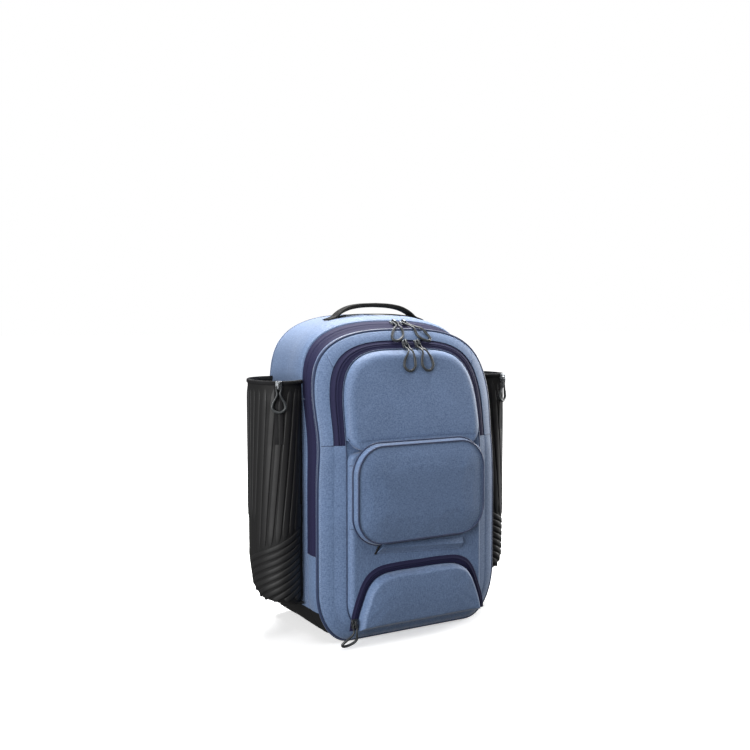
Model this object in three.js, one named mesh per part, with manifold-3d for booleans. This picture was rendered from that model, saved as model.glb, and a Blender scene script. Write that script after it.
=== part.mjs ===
// Baseball bat backpack: a tall arched pack with a clamshell front, a puffed upper panel, two front pockets,
// a ribbed bat sleeve on each side, a top handle and a plain padded back with two shoulder straps.
// Millimetres, +Z up, the front faces -Y, the origin is on the ground below the middle of the bag.
import * as THREE from "three";
import { mergeVertices } from "three/addons/utils/BufferGeometryUtils.js";
import Module from "manifold-3d";

const wasm = await Module();
wasm.setup();

// Clearance that touching pieces keep.
const gap = 0.3;

// The bag: its front edge is a piping that leans back towards the top.
const bagHalfWidth = 175;
const bagDepth = 205;
const frontTop = 518;
const backTop = 546;
const archBase = 318;
const frontArchPower = 2.8;
const backArchPower = 3.6;
const frontLean = 32;
const leanFrom = 300;
const frontBottom = 4.5;
const cornerWide = 58;
const frontCornerHigh = 90;
const backCornerHigh = 60;
const backEdgeRadius = 9;
const bagWall = 3;
const bootHeight = 52;

// The main zip runs behind the piping, from side to side over the top.
const pipingRadius = 3;
const pipingSeam = 4.5;
const mainTapeWide = 33;
const mainTapeEnd = 147;
const tapeThick = 2;

// The front gusset slopes from the piping in to the front panel, and the front zip lies on its upper part.
const slopeWide = 42;
const slopeTop = 31;
const slopeBottom = 21;
const frontDepth = 22;
const frontWall = 2.5;
const panelArchBase = 340;
const panelArchPower = 3.8;
const panelCornerWide = 34;
const panelCornerHigh = 48;
const frontTapeEnd = 332;
const frontTapeFrom = 0.56;
const frontTapeTo = 0.98;

// Pads that stand on the front panel.
const padMargin = 1.5;
const panelSplit = 322;
const lowerPadHeight = 12;
const upperPadHeight = 14;
const upperPadCorner = 32;

// Middle pocket.
const midHalfWidth = 127;
const midBottom = 167;
const midTop = 333;
const midCorner = 50;
const midDepth = 12;
const midTaper = 4;
const midCrown = 7;
const pocketWall = 2;
const rimRadius = 1.5;

// Welt flap under the middle pocket.
const weltHalfWidth = 84;
const weltBottom = 146;
const weltTop = 163;
const weltSlant = 9;
const weltThick = 2.4;

// Lower pocket and the bell-shaped zip round it.
const lowerHalfWidth = 121;
const lowerBottom = 29;
const lowerTop = 118;
const lowerCrown = 22;
const lowerTapeWide = 14;

// Bat sleeves.
const sleeveTop = 437;
const sleeveBottom = 60;
const sleeveReach = 73;
const sleeveFront = 38;
const sleeveLength = 144;
const sleeveWall = 2;
const ribWide = 10;
const ribPitch = 16;
const ribProud = 1.5;
const bindingHeight = 9;

// Top handle.
const handleHalfSpan = 98;
const handleWide = 26;
const handleThick = 5;
const handleRise = 21;
const handleDip = 6;
const handleBack = 121;

// Sliders and their moulded loop pulls.
const sliderLong = 15;
const sliderWide = 11;
const sliderTall = 8;
const pullLong = 45;
const pullHalfWide = 11;
const pullThick = 4.6;
const lowerPullTip = 4;

// Back panel and shoulder straps.
const backPanelHalfWidth = 126;
const backPanelBottom = 40;
const backPanelTop = 500;
const backPanelThick = 11;
const backChannelWide = 26;
const backChannelDeep = 5;
const strapWide = 66;
const strapThick = 10;
const strapStandOff = 18;
const strapTop = 520;
const strapBottom = 200;
const webbingWide = 20;
const webbingThick = 2;
const lockWide = 36;
const lockTall = 26;
const lockThick = 5;
const webbingFoot = 62;
const webbingSag = 3;

// Materials.
function material(color, roughness, metalness = 0) {
  return new THREE.MeshStandardMaterial({ color, roughness, metalness });
}
const blueCloth = material(0x6f88ad, 0.85);
const navyTape = material(0x3a3a60, 0.8);
const navyPiping = material(0x2f4468, 0.7);
const blackRubber = material(0x2b2b2b, 0.55);
const blackCloth = material(0x26262a, 0.9);
const blackWebbing = material(0x2a2725, 0.8);
const greyMetal = material(0x5a5d5e, 0.35, 0.9);
const greyRubber = material(0x3a3d3c, 0.5);
const blackPlastic = material(0x1d1d1f, 0.4);

const mix = THREE.MathUtils.lerp;
const vec = (x, y, z) => new THREE.Vector3(x, y, z);

// How far the front leans back at height z.
function lean(z) {
  return frontLean * THREE.MathUtils.smoothstep(z, leanFrom, frontTop);
}

// A manifold solid of loose triangles, turned so that its faces point out.
function solidFrom(triangles) {
  const places = new Float32Array(triangles.length * 3);
  let volume = 0;
  triangles.forEach((point, index) => point.toArray(places, index * 3));
  for (let i = 0; i < triangles.length; i += 3) {
    volume += triangles[i].dot(vec(0, 0, 0).crossVectors(triangles[i + 1], triangles[i + 2]));
  }
  const loose = new THREE.BufferGeometry();
  loose.setAttribute("position", new THREE.BufferAttribute(places, 3));
  return solidOf(loose, volume < 0);
}

function solidOf(geometry, turned = false) {
  const bare = new THREE.BufferGeometry();
  bare.setAttribute("position", geometry.getAttribute("position").clone());
  if (geometry.index) bare.setIndex(geometry.index.clone());
  const merged = mergeVertices(bare, 1e-3);
  const corners = [];
  for (let i = 0; i < merged.index.count; i += 3) {
    const [a, b, c] = [0, 1, 2].map((k) => merged.index.getX(i + k));
    if (a !== b && b !== c && c !== a) corners.push(a, turned ? c : b, turned ? b : c);
  }
  return new wasm.Manifold(
    new wasm.Mesh({
      numProp: 3,
      vertProperties: new Float32Array(merged.attributes.position.array),
      triVerts: new Uint32Array(corners),
    }),
  );
}

// Two triangles for each cell of a grid of points.
function skin(rows, closedRows, closedColumns, out = []) {
  const last = rows.length - (closedRows ? 0 : 1);
  for (let i = 0; i < last; i += 1) {
    const [low, high] = [rows[i], rows[(i + 1) % rows.length]];
    const count = low.length - (closedColumns ? 0 : 1);
    for (let j = 0; j < count; j += 1) {
      const next = (j + 1) % low.length;
      out.push(low[j], low[next], high[next], low[j], high[next], high[j]);
    }
  }
  return out;
}

function fan(ring, centre, turned, out) {
  ring.forEach((point, j) => {
    const next = ring[(j + 1) % ring.length];
    out.push(centre, turned ? next : point, turned ? point : next);
  });
}

// A solid through closed sections, with a flat or pointed cap at each end.
function loft(sections, tips = []) {
  const middle = (ring) => ring.reduce((sum, p) => sum.add(p), vec(0, 0, 0)).divideScalar(ring.length);
  const out = skin(sections, false, true);
  const first = sections[0];
  const last = sections[sections.length - 1];
  fan(first, tips[0] ?? middle(first), true, out);
  fan(last, tips[1] ?? middle(last), false, out);
  return solidFrom(out);
}

// A closed ring, tube or band through sections that come back to the first one.
function hoop(sections) {
  return solidFrom(skin(sections, true, true));
}

// The rows of a sheet moved out along their normals.
function offset(rows, distance, closedColumns) {
  return rows.map((row, i) =>
    row.map((point, j) => {
      const before = rows[Math.max(i - 1, 0)][j];
      const after = rows[Math.min(i + 1, rows.length - 1)][j];
      const left = closedColumns ? row[(j + row.length - 1) % row.length] : row[Math.max(j - 1, 0)];
      const right = closedColumns ? row[(j + 1) % row.length] : row[Math.min(j + 1, row.length - 1)];
      const along = after.clone().sub(before);
      const across = right.clone().sub(left);
      return point.clone().addScaledVector(across.cross(along).normalize(), distance);
    }),
  );
}

// A sheet of cloth between two offsets of a grid of points.
function sheet(rows, high, low) {
  const upper = offset(rows, high, false);
  const under = offset(rows, low, false);
  const out = skin(upper, false, false);
  const turned = under.map((row) => [...row].reverse());
  skin(turned, false, false, out);
  const rim = (a, b) => skin([a, b], false, false, out);
  const last = rows.length - 1;
  rim(under[0], upper[0]);
  rim(upper[last], under[last]);
  rim(upper.map((row) => row[0]), under.map((row) => row[0]));
  rim(under.map((row) => row[row.length - 1]), upper.map((row) => row[row.length - 1]));
  return solidFrom(out);
}

// A band that closes on itself round the bag, between two offsets of its rows.
function band(rows, high, low) {
  return hoop([...offset(rows, high, true), ...offset(rows, low, true).reverse()]);
}

function box(low, high) {
  const size = high.clone().sub(low);
  const shape = new THREE.BoxGeometry(size.x, size.y, size.z);
  shape.translate(...low.clone().addScaledVector(size, 0.5).toArray());
  return solidOf(shape);
}

// Everything above or below a height, wide enough for the whole bag.
const far = 2 * (frontTop + bagDepth);
const above = (z) => box(vec(-far, -far, z), vec(far, far, far));
const below = (z) => box(vec(-far, -far, -far), vec(far, far, z));

// An arched outline in X and Z, from the middle of its bottom round to the right and back.
function arched(shape) {
  const right = [];
  const cornerSteps = 4;
  const archSteps = 9;
  const sideSteps = 1;
  for (let k = 0; k <= cornerSteps; k += 1) {
    const turn = (k / cornerSteps) * (Math.PI / 2);
    const x = shape.half - shape.cornerWide * (1 - Math.sin(turn));
    right.push([x, shape.bottom + shape.cornerHigh * (1 - Math.cos(turn))]);
  }
  for (let k = 1; k <= sideSteps; k += 1) {
    right.push([shape.half, mix(shape.bottom + shape.cornerHigh, shape.archBase, k / (sideSteps + 1))]);
  }
  for (let k = 0; k < archSteps; k += 1) {
    const turn = (k / archSteps) * (Math.PI / 2);
    const x = shape.half * Math.cos(turn) ** (2 / shape.power);
    right.push([x, shape.archBase + (shape.top - shape.archBase) * Math.sin(turn) ** (2 / shape.power)]);
  }
  const left = right.map(([x, z]) => [-x, z]).reverse();
  return [[0, shape.bottom], ...right, [0, shape.top], ...left];
}

// A rectangle with round corners in X and Z.
function rounded(half, bottom, top, radius, steps = 4) {
  const points = [];
  const centres = [
    [half - radius, bottom + radius, -1],
    [half - radius, top - radius, 0],
    [radius - half, top - radius, 1],
    [radius - half, bottom + radius, 2],
  ];
  centres.forEach(([x, z, quarter]) => {
    for (let k = 0; k <= steps; k += 1) {
      const turn = (quarter + k / steps) * (Math.PI / 2);
      points.push([x + radius * Math.cos(turn), z + radius * Math.sin(turn)]);
    }
  });
  return points;
}

// Sections of the bag from the piping to the back: the share of the depth, of the rise from the front's top
// to the back's, of the piping's lean, and of the rounding of the back edge.
const bodyRows = [
  { back: 0, rise: 0, lean: 1, round: 0 },
  { back: 0.1, rise: 0.32, lean: 1, round: 0 },
  { back: 0.2, rise: 0.62, lean: 1, round: 0 },
  { back: 0.32, rise: 0.86, lean: 0.62, round: 0 },
  { back: 0.5, rise: 1, lean: 0.2, round: 0 },
  { back: 0.75, rise: 1, lean: 0, round: 0 },
  { back: 0.96, rise: 1, lean: 0, round: 0.2 },
  { back: 1, rise: 1, lean: 0, round: 1 },
];

function bodyRow(back) {
  const share = THREE.MathUtils.clamp(back / bagDepth, 0, 1);
  const next = Math.max(1, bodyRows.findIndex((row) => row.back >= share));
  const [a, b] = [bodyRows[next - 1], bodyRows[next]];
  const part = (share - a.back) / (b.back - a.back);
  return {
    rise: mix(a.rise, b.rise, part),
    lean: mix(a.lean, b.lean, part),
    round: mix(a.round, b.round, part),
  };
}

// The bag's section at a distance behind the piping, drawn in by inset on all sides.
function bodyRing(back, inset = 0) {
  const row = bodyRow(back);
  const drawn = inset + row.round * backEdgeRadius;
  const share = Math.min(1, Math.max(0, back / bagDepth));
  const outline = arched({
    half: bagHalfWidth - drawn,
    top: mix(frontTop, backTop, row.rise) - drawn,
    archBase,
    power: mix(frontArchPower, backArchPower, row.rise),
    bottom: frontBottom * Math.max(0, 1 - share / bodyRows[2].back) + drawn,
    cornerWide: cornerWide - Math.min(drawn, bagWall),
    cornerHigh: mix(frontCornerHigh, backCornerHigh, share) - Math.min(drawn, bagWall),
  });
  return outline.map(([x, z]) => vec(x, back + row.lean * lean(z), z));
}

// Section of the sloping front gusset: 0 at the piping, 1 at the front panel's seam.
const slopeStart = pipingRadius + gap;
const panelShape = {
  half: bagHalfWidth - slopeWide,
  top: frontTop - slopeTop,
  archBase: panelArchBase,
  power: panelArchPower,
  bottom: frontBottom + slopeBottom,
  cornerWide: panelCornerWide,
  cornerHigh: panelCornerHigh,
};
function slopeRing(share, inset = 0) {
  const outer = bodyRing(0, inset);
  const inner = arched({
    ...panelShape,
    half: panelShape.half - inset,
    top: panelShape.top - inset,
    bottom: panelShape.bottom + inset,
  });
  return outer.map((point, j) => {
    const x = mix(point.x, inner[j][0], share);
    const z = mix(point.z, inner[j][1], share);
    return vec(x, mix(-slopeStart, inset - frontDepth, share) + lean(z), z);
  });
}

// A point on a plane that follows the front panel, a height out from it.
const onFront = (x, z, out) => vec(x, lean(z) - frontDepth - out, z);

// Rings drawn in towards the middle of the front panel, which close its face.
function faceRings(ring, shares, out) {
  return shares.map((share) =>
    ring.map((p) => onFront(p.x * share, mix(leanFrom, p.z, share), out)),
  );
}

const faceShares = [0.7, 0.4];
function frontRings(inset) {
  const rim = slopeRing(1, inset);
  const slope = [slopeRing(0, inset), slopeRing(frontTapeFrom, inset), rim];
  return [...slope, ...faceRings(rim, faceShares, -inset)];
}

// The front as a filled body, grown by a clearance, to seat what stands on it.
function frontMass(grow) {
  return loft([...frontRings(-grow)].reverse(), [onFront(0, leanFrom, grow), undefined]);
}

// The whole bag behind the piping as a filled body, grown by a clearance.
function bodyMass(grow) {
  const rings = bodyRows.map((row) => bodyRing(row.back * bagDepth, -grow));
  const back = rings[rings.length - 1].map((p) => vec(p.x, p.y + grow, p.z));
  return loft([...rings, back].reverse());
}

// Rear tub: sides, top, bottom and back in one shell, open towards the zip.
const tubStart = slopeStart + pipingSeam + mainTapeWide + gap;
const tubShares = bodyRows.map((row) => row.back * bagDepth).filter((back) => back > tubStart + gap);
const tubOuter = [tubStart, ...tubShares].map((back) => bodyRing(back));
const tubInner = [tubStart, ...tubShares].map((back) => {
  return bodyRing(Math.min(back, bagDepth - bagWall), bagWall);
});
const backCentre = vec(0, bagDepth, archBase);
const tub = loft(
  [...[...tubOuter].reverse(), ...tubInner],
  [backCentre, backCentre.clone().setY(bagDepth - bagWall)],
);
const rearShell = tub.intersect(above(bootHeight + gap / 2));

// Strip behind the piping and, below the zip's ends, the gusset that carries on down to the boot.
function bodyBand(from, to) {
  const steps = [from, to].map((back) => bodyRing(back));
  const inner = [from, to].map((back) => bodyRing(back, tapeThick));
  return hoop([...steps, ...inner.reverse()]);
}
const seamEnd = slopeStart + pipingSeam;
const sideGusset = bodyBand(seamEnd, tubStart - gap)
  .intersect(below(mainTapeEnd - gap))
  .intersect(above(bootHeight + gap / 2));
const zipGusset = bodyBand(slopeStart, seamEnd).add(sideGusset);
// The boot wraps the tub's foot and carries on under the bag to the strip behind the piping.
const bootFront = bodyBand(seamEnd + gap, tubStart + gap);
const baseBoot = tub.add(bootFront).intersect(below(bootHeight - gap / 2));
const mainTape = bodyBand(seamEnd + gap, tubStart - gap).intersect(above(mainTapeEnd));

// A round cord that follows a closed line; side is a direction square to the line.
function cordRing(points, radius, side, sides = 5) {
  const sections = points.map((point, k) => {
    const before = points[(k + points.length - 1) % points.length];
    const after = points[(k + 1) % points.length];
    const along = after.clone().sub(before).normalize();
    const out = along.clone().cross(side).normalize();
    const across = out.clone().cross(along).normalize();
    const size = typeof radius === "function" ? radius(k) : radius;
    return Array.from({ length: sides }, (_, s) => {
      const turn = (s / sides) * 2 * Math.PI;
      const spot = point.clone().addScaledVector(out, size * Math.cos(turn));
      return spot.addScaledVector(across, size * Math.sin(turn));
    });
  });
  return hoop(sections);
}
const mainPiping = cordRing(bodyRing(0), pipingRadius, vec(0, 1, 0));

// Front shell with a slot for its zip, and the zip's tape in the slot.
const frontOuter = frontRings(0);
const frontInner = frontRings(frontWall);
const frontSolid = loft(
  [...[...frontOuter].reverse(), ...frontInner],
  [onFront(0, leanFrom, 0), onFront(0, leanFrom, -frontWall)],
);
const slopeBand = (from, to, high, low) => band([slopeRing(from), slopeRing(to)], high, low);
const cutterDeep = 2 * frontWall;
const slotCut = slopeBand(frontTapeFrom, frontTapeTo, cutterDeep, -cutterDeep);
const slotShare = gap / slopeWide;
const frontShell = frontSolid.subtract(slotCut.intersect(above(frontTapeEnd - gap)));
const tapeBand = slopeBand(frontTapeFrom + slotShare, frontTapeTo - slotShare, -gap, -tapeThick);
const frontTape = tapeBand.intersect(above(frontTapeEnd));

// Pads on the front: rows of how far the edge has drawn in, as a share of the edge's width, and of how high
// it is, as a share of the pad's height.
const padEdge = 6;
const padRows = [
  { inset: 0, height: -0.3 },
  { inset: 0, height: 0.5 },
  { inset: 0.25, height: 0.84 },
  { inset: 0.8, height: 1 },
];
function padRings(shape, height, edge) {
  const rings = padRows.map((row) => {
    const drawn = row.inset * edge;
    const outline = arched({
      ...shape,
      half: shape.half - drawn,
      top: shape.top - drawn,
      bottom: shape.bottom + drawn,
    });
    return outline.map(([x, z]) => onFront(x, z, row.height * height));
  });
  const rim = rings[rings.length - 1];
  const middle = (shape.top + shape.bottom) / 2;
  const faces = faceShares.map((share) =>
    rim.map((p) => onFront(p.x * share, mix(middle, p.z, share), height)),
  );
  return { rings: [...rings, ...faces], tip: onFront(0, middle, height) };
}
const seatedOnFront = frontMass(gap);
const upperPad = padRings(
  {
    ...panelShape,
    half: panelShape.half - padMargin,
    top: panelShape.top - padMargin,
    bottom: panelSplit,
    cornerWide: upperPadCorner,
    cornerHigh: upperPadCorner,
  },
  upperPadHeight,
  2 * padEdge,
);
const lowerPad = padRings(
  {
    ...panelShape,
    half: panelShape.half - padMargin,
    top: panelSplit - gap,
    archBase: panelSplit - panelCornerWide,
    power: 2 * panelArchPower,
    bottom: panelShape.bottom + padMargin,
  },
  lowerPadHeight,
  padEdge,
);
const padSolid = (pad) => loft(pad.rings, [undefined, pad.tip]).subtract(seatedOnFront);

// A pocket as a dish that is open towards the panel behind it: rows of ring outlines and heights, drawn in
// by the wall for the inner face.
function dish(ringAt, rows, tipHeight, middle, wall) {
  const outer = rows.map((row) => ringAt(row, 0));
  const inner = rows.map((row) => ringAt(row, wall));
  return loft(
    [...[...outer].reverse(), ...inner],
    [onFront(0, middle, tipHeight), onFront(0, middle, tipHeight - wall)],
  );
}
const midSeat = lowerPadHeight + gap;
const midMiddle = (midBottom + midTop) / 2;
const midRows = [
  { inset: 0, height: midSeat },
  { inset: midTaper, height: midSeat + midDepth },
  { inset: 2.5 * midTaper, height: midSeat + midDepth + 0.5 * midCrown },
  { inset: 9 * midTaper, height: midSeat + midDepth + 0.9 * midCrown },
];
function midRing(row, wall, grow = 0) {
  const drawn = row.inset + wall - grow;
  const radius = Math.max(midCorner - drawn, midCorner / 4);
  const outline = rounded(midHalfWidth - drawn, midBottom + drawn, midTop - drawn, radius);
  const height = row.height - (row === midRows[0] ? 0 : wall);
  return outline.map(([x, z]) => onFront(x, z, height));
}
const midPocket = dish(midRing, midRows, midSeat + midDepth + midCrown, midMiddle, pocketWall);
const midClear = 3 * rimRadius;
const midMass = loft([
  midRing({ ...midRows[0], height: 0 }, -midClear),
  midRing(midRows[0], -midClear),
  midRing(midRows[1], -gap - rimRadius),
]);
const rimGap = rimRadius + gap;
const midRearRim = { inset: -rimGap, height: midSeat + rimGap };
const midFrontRim = { inset: midTaper - 0.8 * rimGap, height: midSeat + midDepth + 0.8 * rimGap };
const midRearPiping = cordRing(midRing(midRearRim, 0), rimRadius, vec(0, 1, 0));
const midFrontPiping = cordRing(midRing(midFrontRim, 0), rimRadius, vec(0, 1, 0));
const upperPanel = padSolid(upperPad).subtract(midMass);
const lowerPanel = padSolid(lowerPad);

// Welt flap: a folded strip with a slanted left end.
const weltShape = new THREE.Shape();
weltShape.moveTo(-weltHalfWidth, weltBottom);
weltShape.lineTo(weltHalfWidth, weltBottom);
weltShape.lineTo(weltHalfWidth, weltTop);
weltShape.lineTo(weltSlant - weltHalfWidth, weltTop);
weltShape.closePath();
const weltSheet = new THREE.ExtrudeGeometry(weltShape, { depth: weltThick, bevelEnabled: false });
weltSheet.rotateX(Math.PI / 2);
weltSheet.translate(0, -frontDepth - lowerPadHeight - gap, 0);
const weltFlap = solidOf(weltSheet);

// The lower pocket's bell shape: shares of its half width and of its height, from the foot to the top.
const bellRows = [
  { wide: 1, high: 0 },
  { wide: 0.97, high: 0.22 },
  { wide: 0.9, high: 0.5 },
  { wide: 0.82, high: 0.74 },
  { wide: 0.73, high: 0.88 },
  { wide: 0.58, high: 0.97 },
  { wide: 0.3, high: 1 },
  { wide: 0, high: 1 },
];
// The bell drawn out by grow, as points from the left foot over the top to the right foot.
function bell(grow, foot = lowerBottom) {
  const right = bellRows.map((row) => [
    row.wide * (lowerHalfWidth + grow),
    mix(foot, lowerTop + grow, row.high),
  ]);
  const left = right.slice(0, -1).map(([x, z]) => [-x, z]);
  return [...left, ...right.reverse()];
}
const lowerSeat = lowerPadHeight + gap;
const lowerRows = [
  { inset: 0, height: lowerSeat },
  { inset: 0, height: lowerSeat + 0.18 * lowerCrown },
  { inset: 0.32 * lowerCrown, height: lowerSeat + 0.6 * lowerCrown },
  { inset: 1.1 * lowerCrown, height: lowerSeat + 0.92 * lowerCrown },
];
function lowerRing(row, wall) {
  const drawn = row.inset + wall;
  const foot = lowerBottom + drawn;
  const height = row.height - (row === lowerRows[0] ? 0 : wall);
  const feet = [0.5, 0, -0.5].map((share) => [share * (lowerHalfWidth - drawn), foot]);
  return [...bell(-drawn, foot), ...feet].map(([x, z]) => onFront(x, z, height));
}
const lowerMiddle = mix(lowerBottom, lowerTop, 0.45);
const lowerPocket = dish(lowerRing, lowerRows, lowerSeat + lowerCrown, lowerMiddle, pocketWall);
const tapeInner = bell(gap).map(([x, z]) => onFront(x, z, lowerSeat));
const tapeOuter = bell(lowerTapeWide).map(([x, z]) => onFront(x, z, lowerSeat));
const lowerTape = sheet([tapeInner, tapeOuter], tapeThick, 0);

// Plan of a bat sleeve, from its front edge at the bag's side round to its rear edge: shares of its reach
// and of its length.
const sleevePlan = [
  { reach: 0, length: 0.14 },
  { reach: 0.25, length: 0.03 },
  { reach: 0.62, length: 0 },
  { reach: 0.92, length: 0.14 },
  { reach: 1, length: 0.36 },
  { reach: 0.96, length: 0.57 },
  { reach: 0.75, length: 0.81 },
  { reach: 0.41, length: 0.95 },
  { reach: 0, length: 1 },
];
// Rows of a sleeve from its sewn-in foot to its mouth: the height, the share of the reach, and how far its
// front and rear edges have drawn in as shares of the length.
const sleeveRise = sleeveTop - sleeveBottom;
const sleeveRows = [
  { high: 0, reach: 0.02, front: 0.1, rear: 0.36 },
  { high: 0.004, reach: 0.55, front: 0.08, rear: 0.34 },
  { high: 0.03, reach: 0.85, front: 0.04, rear: 0.27 },
  { high: 0.08, reach: 0.97, front: 0.01, rear: 0.14 },
  { high: 0.2, reach: 1, front: 0, rear: 0.01 },
  { high: 1, reach: 1, front: 0, rear: 0 },
];
const sleeveRoot = bagHalfWidth + gap;
const planCurve = new THREE.CatmullRomCurve3(sleevePlan.map((row) => vec(row.reach, row.length, 0)));
const planSteps = 11;
// A point of the right sleeve's outer face, from its place along the plan and its row.
function sleevePoint(along, row) {
  const spot = planCurve.getPoint(THREE.MathUtils.clamp(along, 0, 1));
  const length = mix(row.front, 1 - row.rear, spot.y);
  const reach = Math.max(0, spot.x) * row.reach;
  return vec(
    sleeveRoot + reach * sleeveReach,
    sleeveFront + length * sleeveLength,
    sleeveBottom + row.high * sleeveRise,
  );
}
function sleeveRowAt(z) {
  const high = THREE.MathUtils.clamp((z - sleeveBottom) / sleeveRise, 0, 1);
  const next = Math.max(1, sleeveRows.findIndex((row) => row.high >= high));
  const [a, b] = [sleeveRows[next - 1], sleeveRows[next]];
  const part = (high - a.high) / (b.high - a.high);
  return {
    high,
    reach: mix(a.reach, b.reach, part),
    front: mix(a.front, b.front, part),
    rear: mix(a.rear, b.rear, part),
  };
}
const sleeveGrid = sleeveRows.map((row) =>
  Array.from({ length: planSteps + 1 }, (_, k) => sleevePoint(k / planSteps, row)),
);
const bindingGrid = [sleeveTop - bindingHeight, sleeveTop].map((z) =>
  Array.from({ length: planSteps + 1 }, (_, k) => sleevePoint(k / planSteps, sleeveRowAt(z))),
);

// Which way the sleeve's outer face looks, square to its plan.
const nudge = 0.01;
function sleeveOut(along, row) {
  const tangent = sleevePoint(along + nudge, row).sub(sleevePoint(along - nudge, row)).normalize();
  return vec(tangent.y, -tangent.x, 0);
}

// A raised rib on the sleeve, from a place along the plan and a height to another.
function rib(fromAlong, fromZ, toAlong, toZ, steps) {
  const spots = [];
  for (let k = 0; k <= steps; k += 1) {
    const [along, z] = [mix(fromAlong, toAlong, k / steps), mix(fromZ, toZ, k / steps)];
    const row = sleeveRowAt(z);
    spots.push({ point: sleevePoint(along, row), out: sleeveOut(along, row) });
  }
  const sections = spots.map(({ point, out }, k) => {
    const before = spots[Math.max(0, k - 1)].point;
    const after = spots[Math.min(steps, k + 1)].point;
    const across = after.clone().sub(before).cross(out).normalize();
    return [
      [-0.5 * ribWide, -0.5 * sleeveWall],
      [0.5 * ribWide, -0.5 * sleeveWall],
      [0.32 * ribWide, ribProud],
      [-0.32 * ribWide, ribProud],
    ].map(([side, height]) => point.clone().addScaledVector(across, side).addScaledVector(out, height));
  });
  return loft(sections);
}
const planLength = planCurve
  .getPoints(4 * planSteps)
  .map((p) => vec(p.x * sleeveReach, p.y * sleeveLength, 0))
  .reduce((sum, p, k, all) => sum + (k ? p.distanceTo(all[k - 1]) : 0), 0);
const ribStep = ribPitch / planLength;
const ribTop = sleeveTop - bindingHeight - ribWide;
// The upper ribs lean forward the more the nearer they are to the front; their feet follow a slanting line.
// Places along the plan are shares of it.
const footFront = 175;
const footRear = 120;
const footLevel = 0.55;
const leanFront = 0.16;
const leanRear = 0.03;
const leanLevel = 0.75;
const ribsFrom = 0.09;
const ribsTo = 0.95;
const ribsEdge = 0.06;
const ribs = [];
for (let along = ribsFrom; along < ribsTo; along += ribStep) {
  const foot = mix(footFront, footRear, Math.min(1, along / footLevel));
  const reach = mix(leanFront, leanRear, Math.min(1, along / leanLevel));
  const high = Math.max(ribsEdge, along - reach);
  const top = mix(foot, ribTop, Math.min(1, (along - high) / reach));
  ribs.push(rib(along, foot, high, top, 2));
}
// The lower ribs rise towards the front below that line.
const lowerRibs = 5;
const lowerRise = 52;
const lowerFrom = 0.1;
const lowerTo = 0.62;
const lowerFoot = sleeveBottom + sleeveRows[3].high * sleeveRise;
for (let k = 0; k < lowerRibs; k += 1) {
  const front = footFront - ribWide - k * ribPitch;
  const rear = front - lowerRise;
  const reach = rear < lowerFoot ? (front - lowerFoot) / lowerRise : 1;
  ribs.push(rib(lowerFrom, front, mix(lowerFrom, lowerTo, reach), Math.max(rear, lowerFoot), 4));
}
const sleeveShell = sheet(sleeveGrid, 0, -sleeveWall);
const sleeve = ribs.reduce(
  (sum, one) => sum.add(one),
  sleeveShell.add(sheet(bindingGrid, ribProud, -0.5 * sleeveWall)),
);
const sideOfBag = box(vec(-sleeveRoot, -far, -far), vec(sleeveRoot, far, far));
const rightSleeve = sleeve.subtract(sideOfBag);

// Top handle: shares of the half span, of the rise and of the width from the foot to the middle.
const handleRows = [
  { span: 1, rise: -0.18, wide: 1 },
  { span: 0.84, rise: -0.05, wide: 1 },
  { span: 0.68, rise: 0.3, wide: 0.95 },
  { span: 0.5, rise: 0.66, wide: 0.85 },
  { span: 0.26, rise: 0.93, wide: 0.8 },
  { span: 0, rise: 1, wide: 0.8 },
];
function handleSection({ span, rise, wide }, side) {
  const half = (wide * handleWide) / 2;
  const top = mix(backTop - handleDip, backTop + handleRise, rise);
  const low = top - handleThick;
  const x = side * span * handleHalfSpan;
  const edge = 0.3 * half;
  return [
    [-half + edge, low],
    [half - edge, low],
    [half, low + handleThick / 2],
    [half - edge, top],
    [-half + edge, top],
    [-half, low + handleThick / 2],
  ].map(([y, z]) => vec(x, handleBack + y, z));
}
const handleSections = [
  ...handleRows.map((row) => handleSection(row, 1)),
  ...handleRows.slice(0, -1).reverse().map((row) => handleSection(row, -1)),
];
const topHandle = loft(handleSections).subtract(bodyMass(gap));

// A slider on a zip: it stands at a place, with its window along one direction and its foot square to
// another. The window lets the pull's loop through.
const windowLow = 3;
const windowHigh = 6.4;
const windowHalf = 2.3;
const footTall = 0.8 * windowLow;
const bridgeWide = 0.4 * sliderWide;
function slider(place, through, out) {
  const shape = new THREE.Shape();
  shape.moveTo(-sliderLong / 2, 0);
  shape.lineTo(sliderLong / 2, 0);
  shape.lineTo(0.46 * sliderLong, footTall);
  shape.lineTo(0.3 * sliderLong, sliderTall);
  shape.lineTo(-0.3 * sliderLong, sliderTall);
  shape.lineTo(-0.46 * sliderLong, footTall);
  shape.closePath();
  const hole = new THREE.Path();
  hole.moveTo(-windowHalf, windowLow);
  hole.lineTo(-windowHalf, windowHigh);
  hole.lineTo(windowHalf, windowHigh);
  hole.lineTo(windowHalf, windowLow);
  hole.closePath();
  shape.holes.push(hole);
  const bridge = new THREE.ExtrudeGeometry(shape, { depth: bridgeWide, bevelEnabled: false });
  bridge.translate(0, 0, -bridgeWide / 2);
  const foot = new THREE.BoxGeometry(sliderLong, footTall, sliderWide);
  foot.translate(0, footTall / 2, 0);
  const up = out.clone().normalize();
  const side = through.clone().addScaledVector(up, -through.dot(up)).normalize();
  const frame = new THREE.Matrix4().makeBasis(up.clone().cross(side), up, side).setPosition(place);
  bridge.applyMatrix4(frame);
  foot.applyMatrix4(frame);
  return solidOf(bridge).add(solidOf(foot));
}

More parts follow.
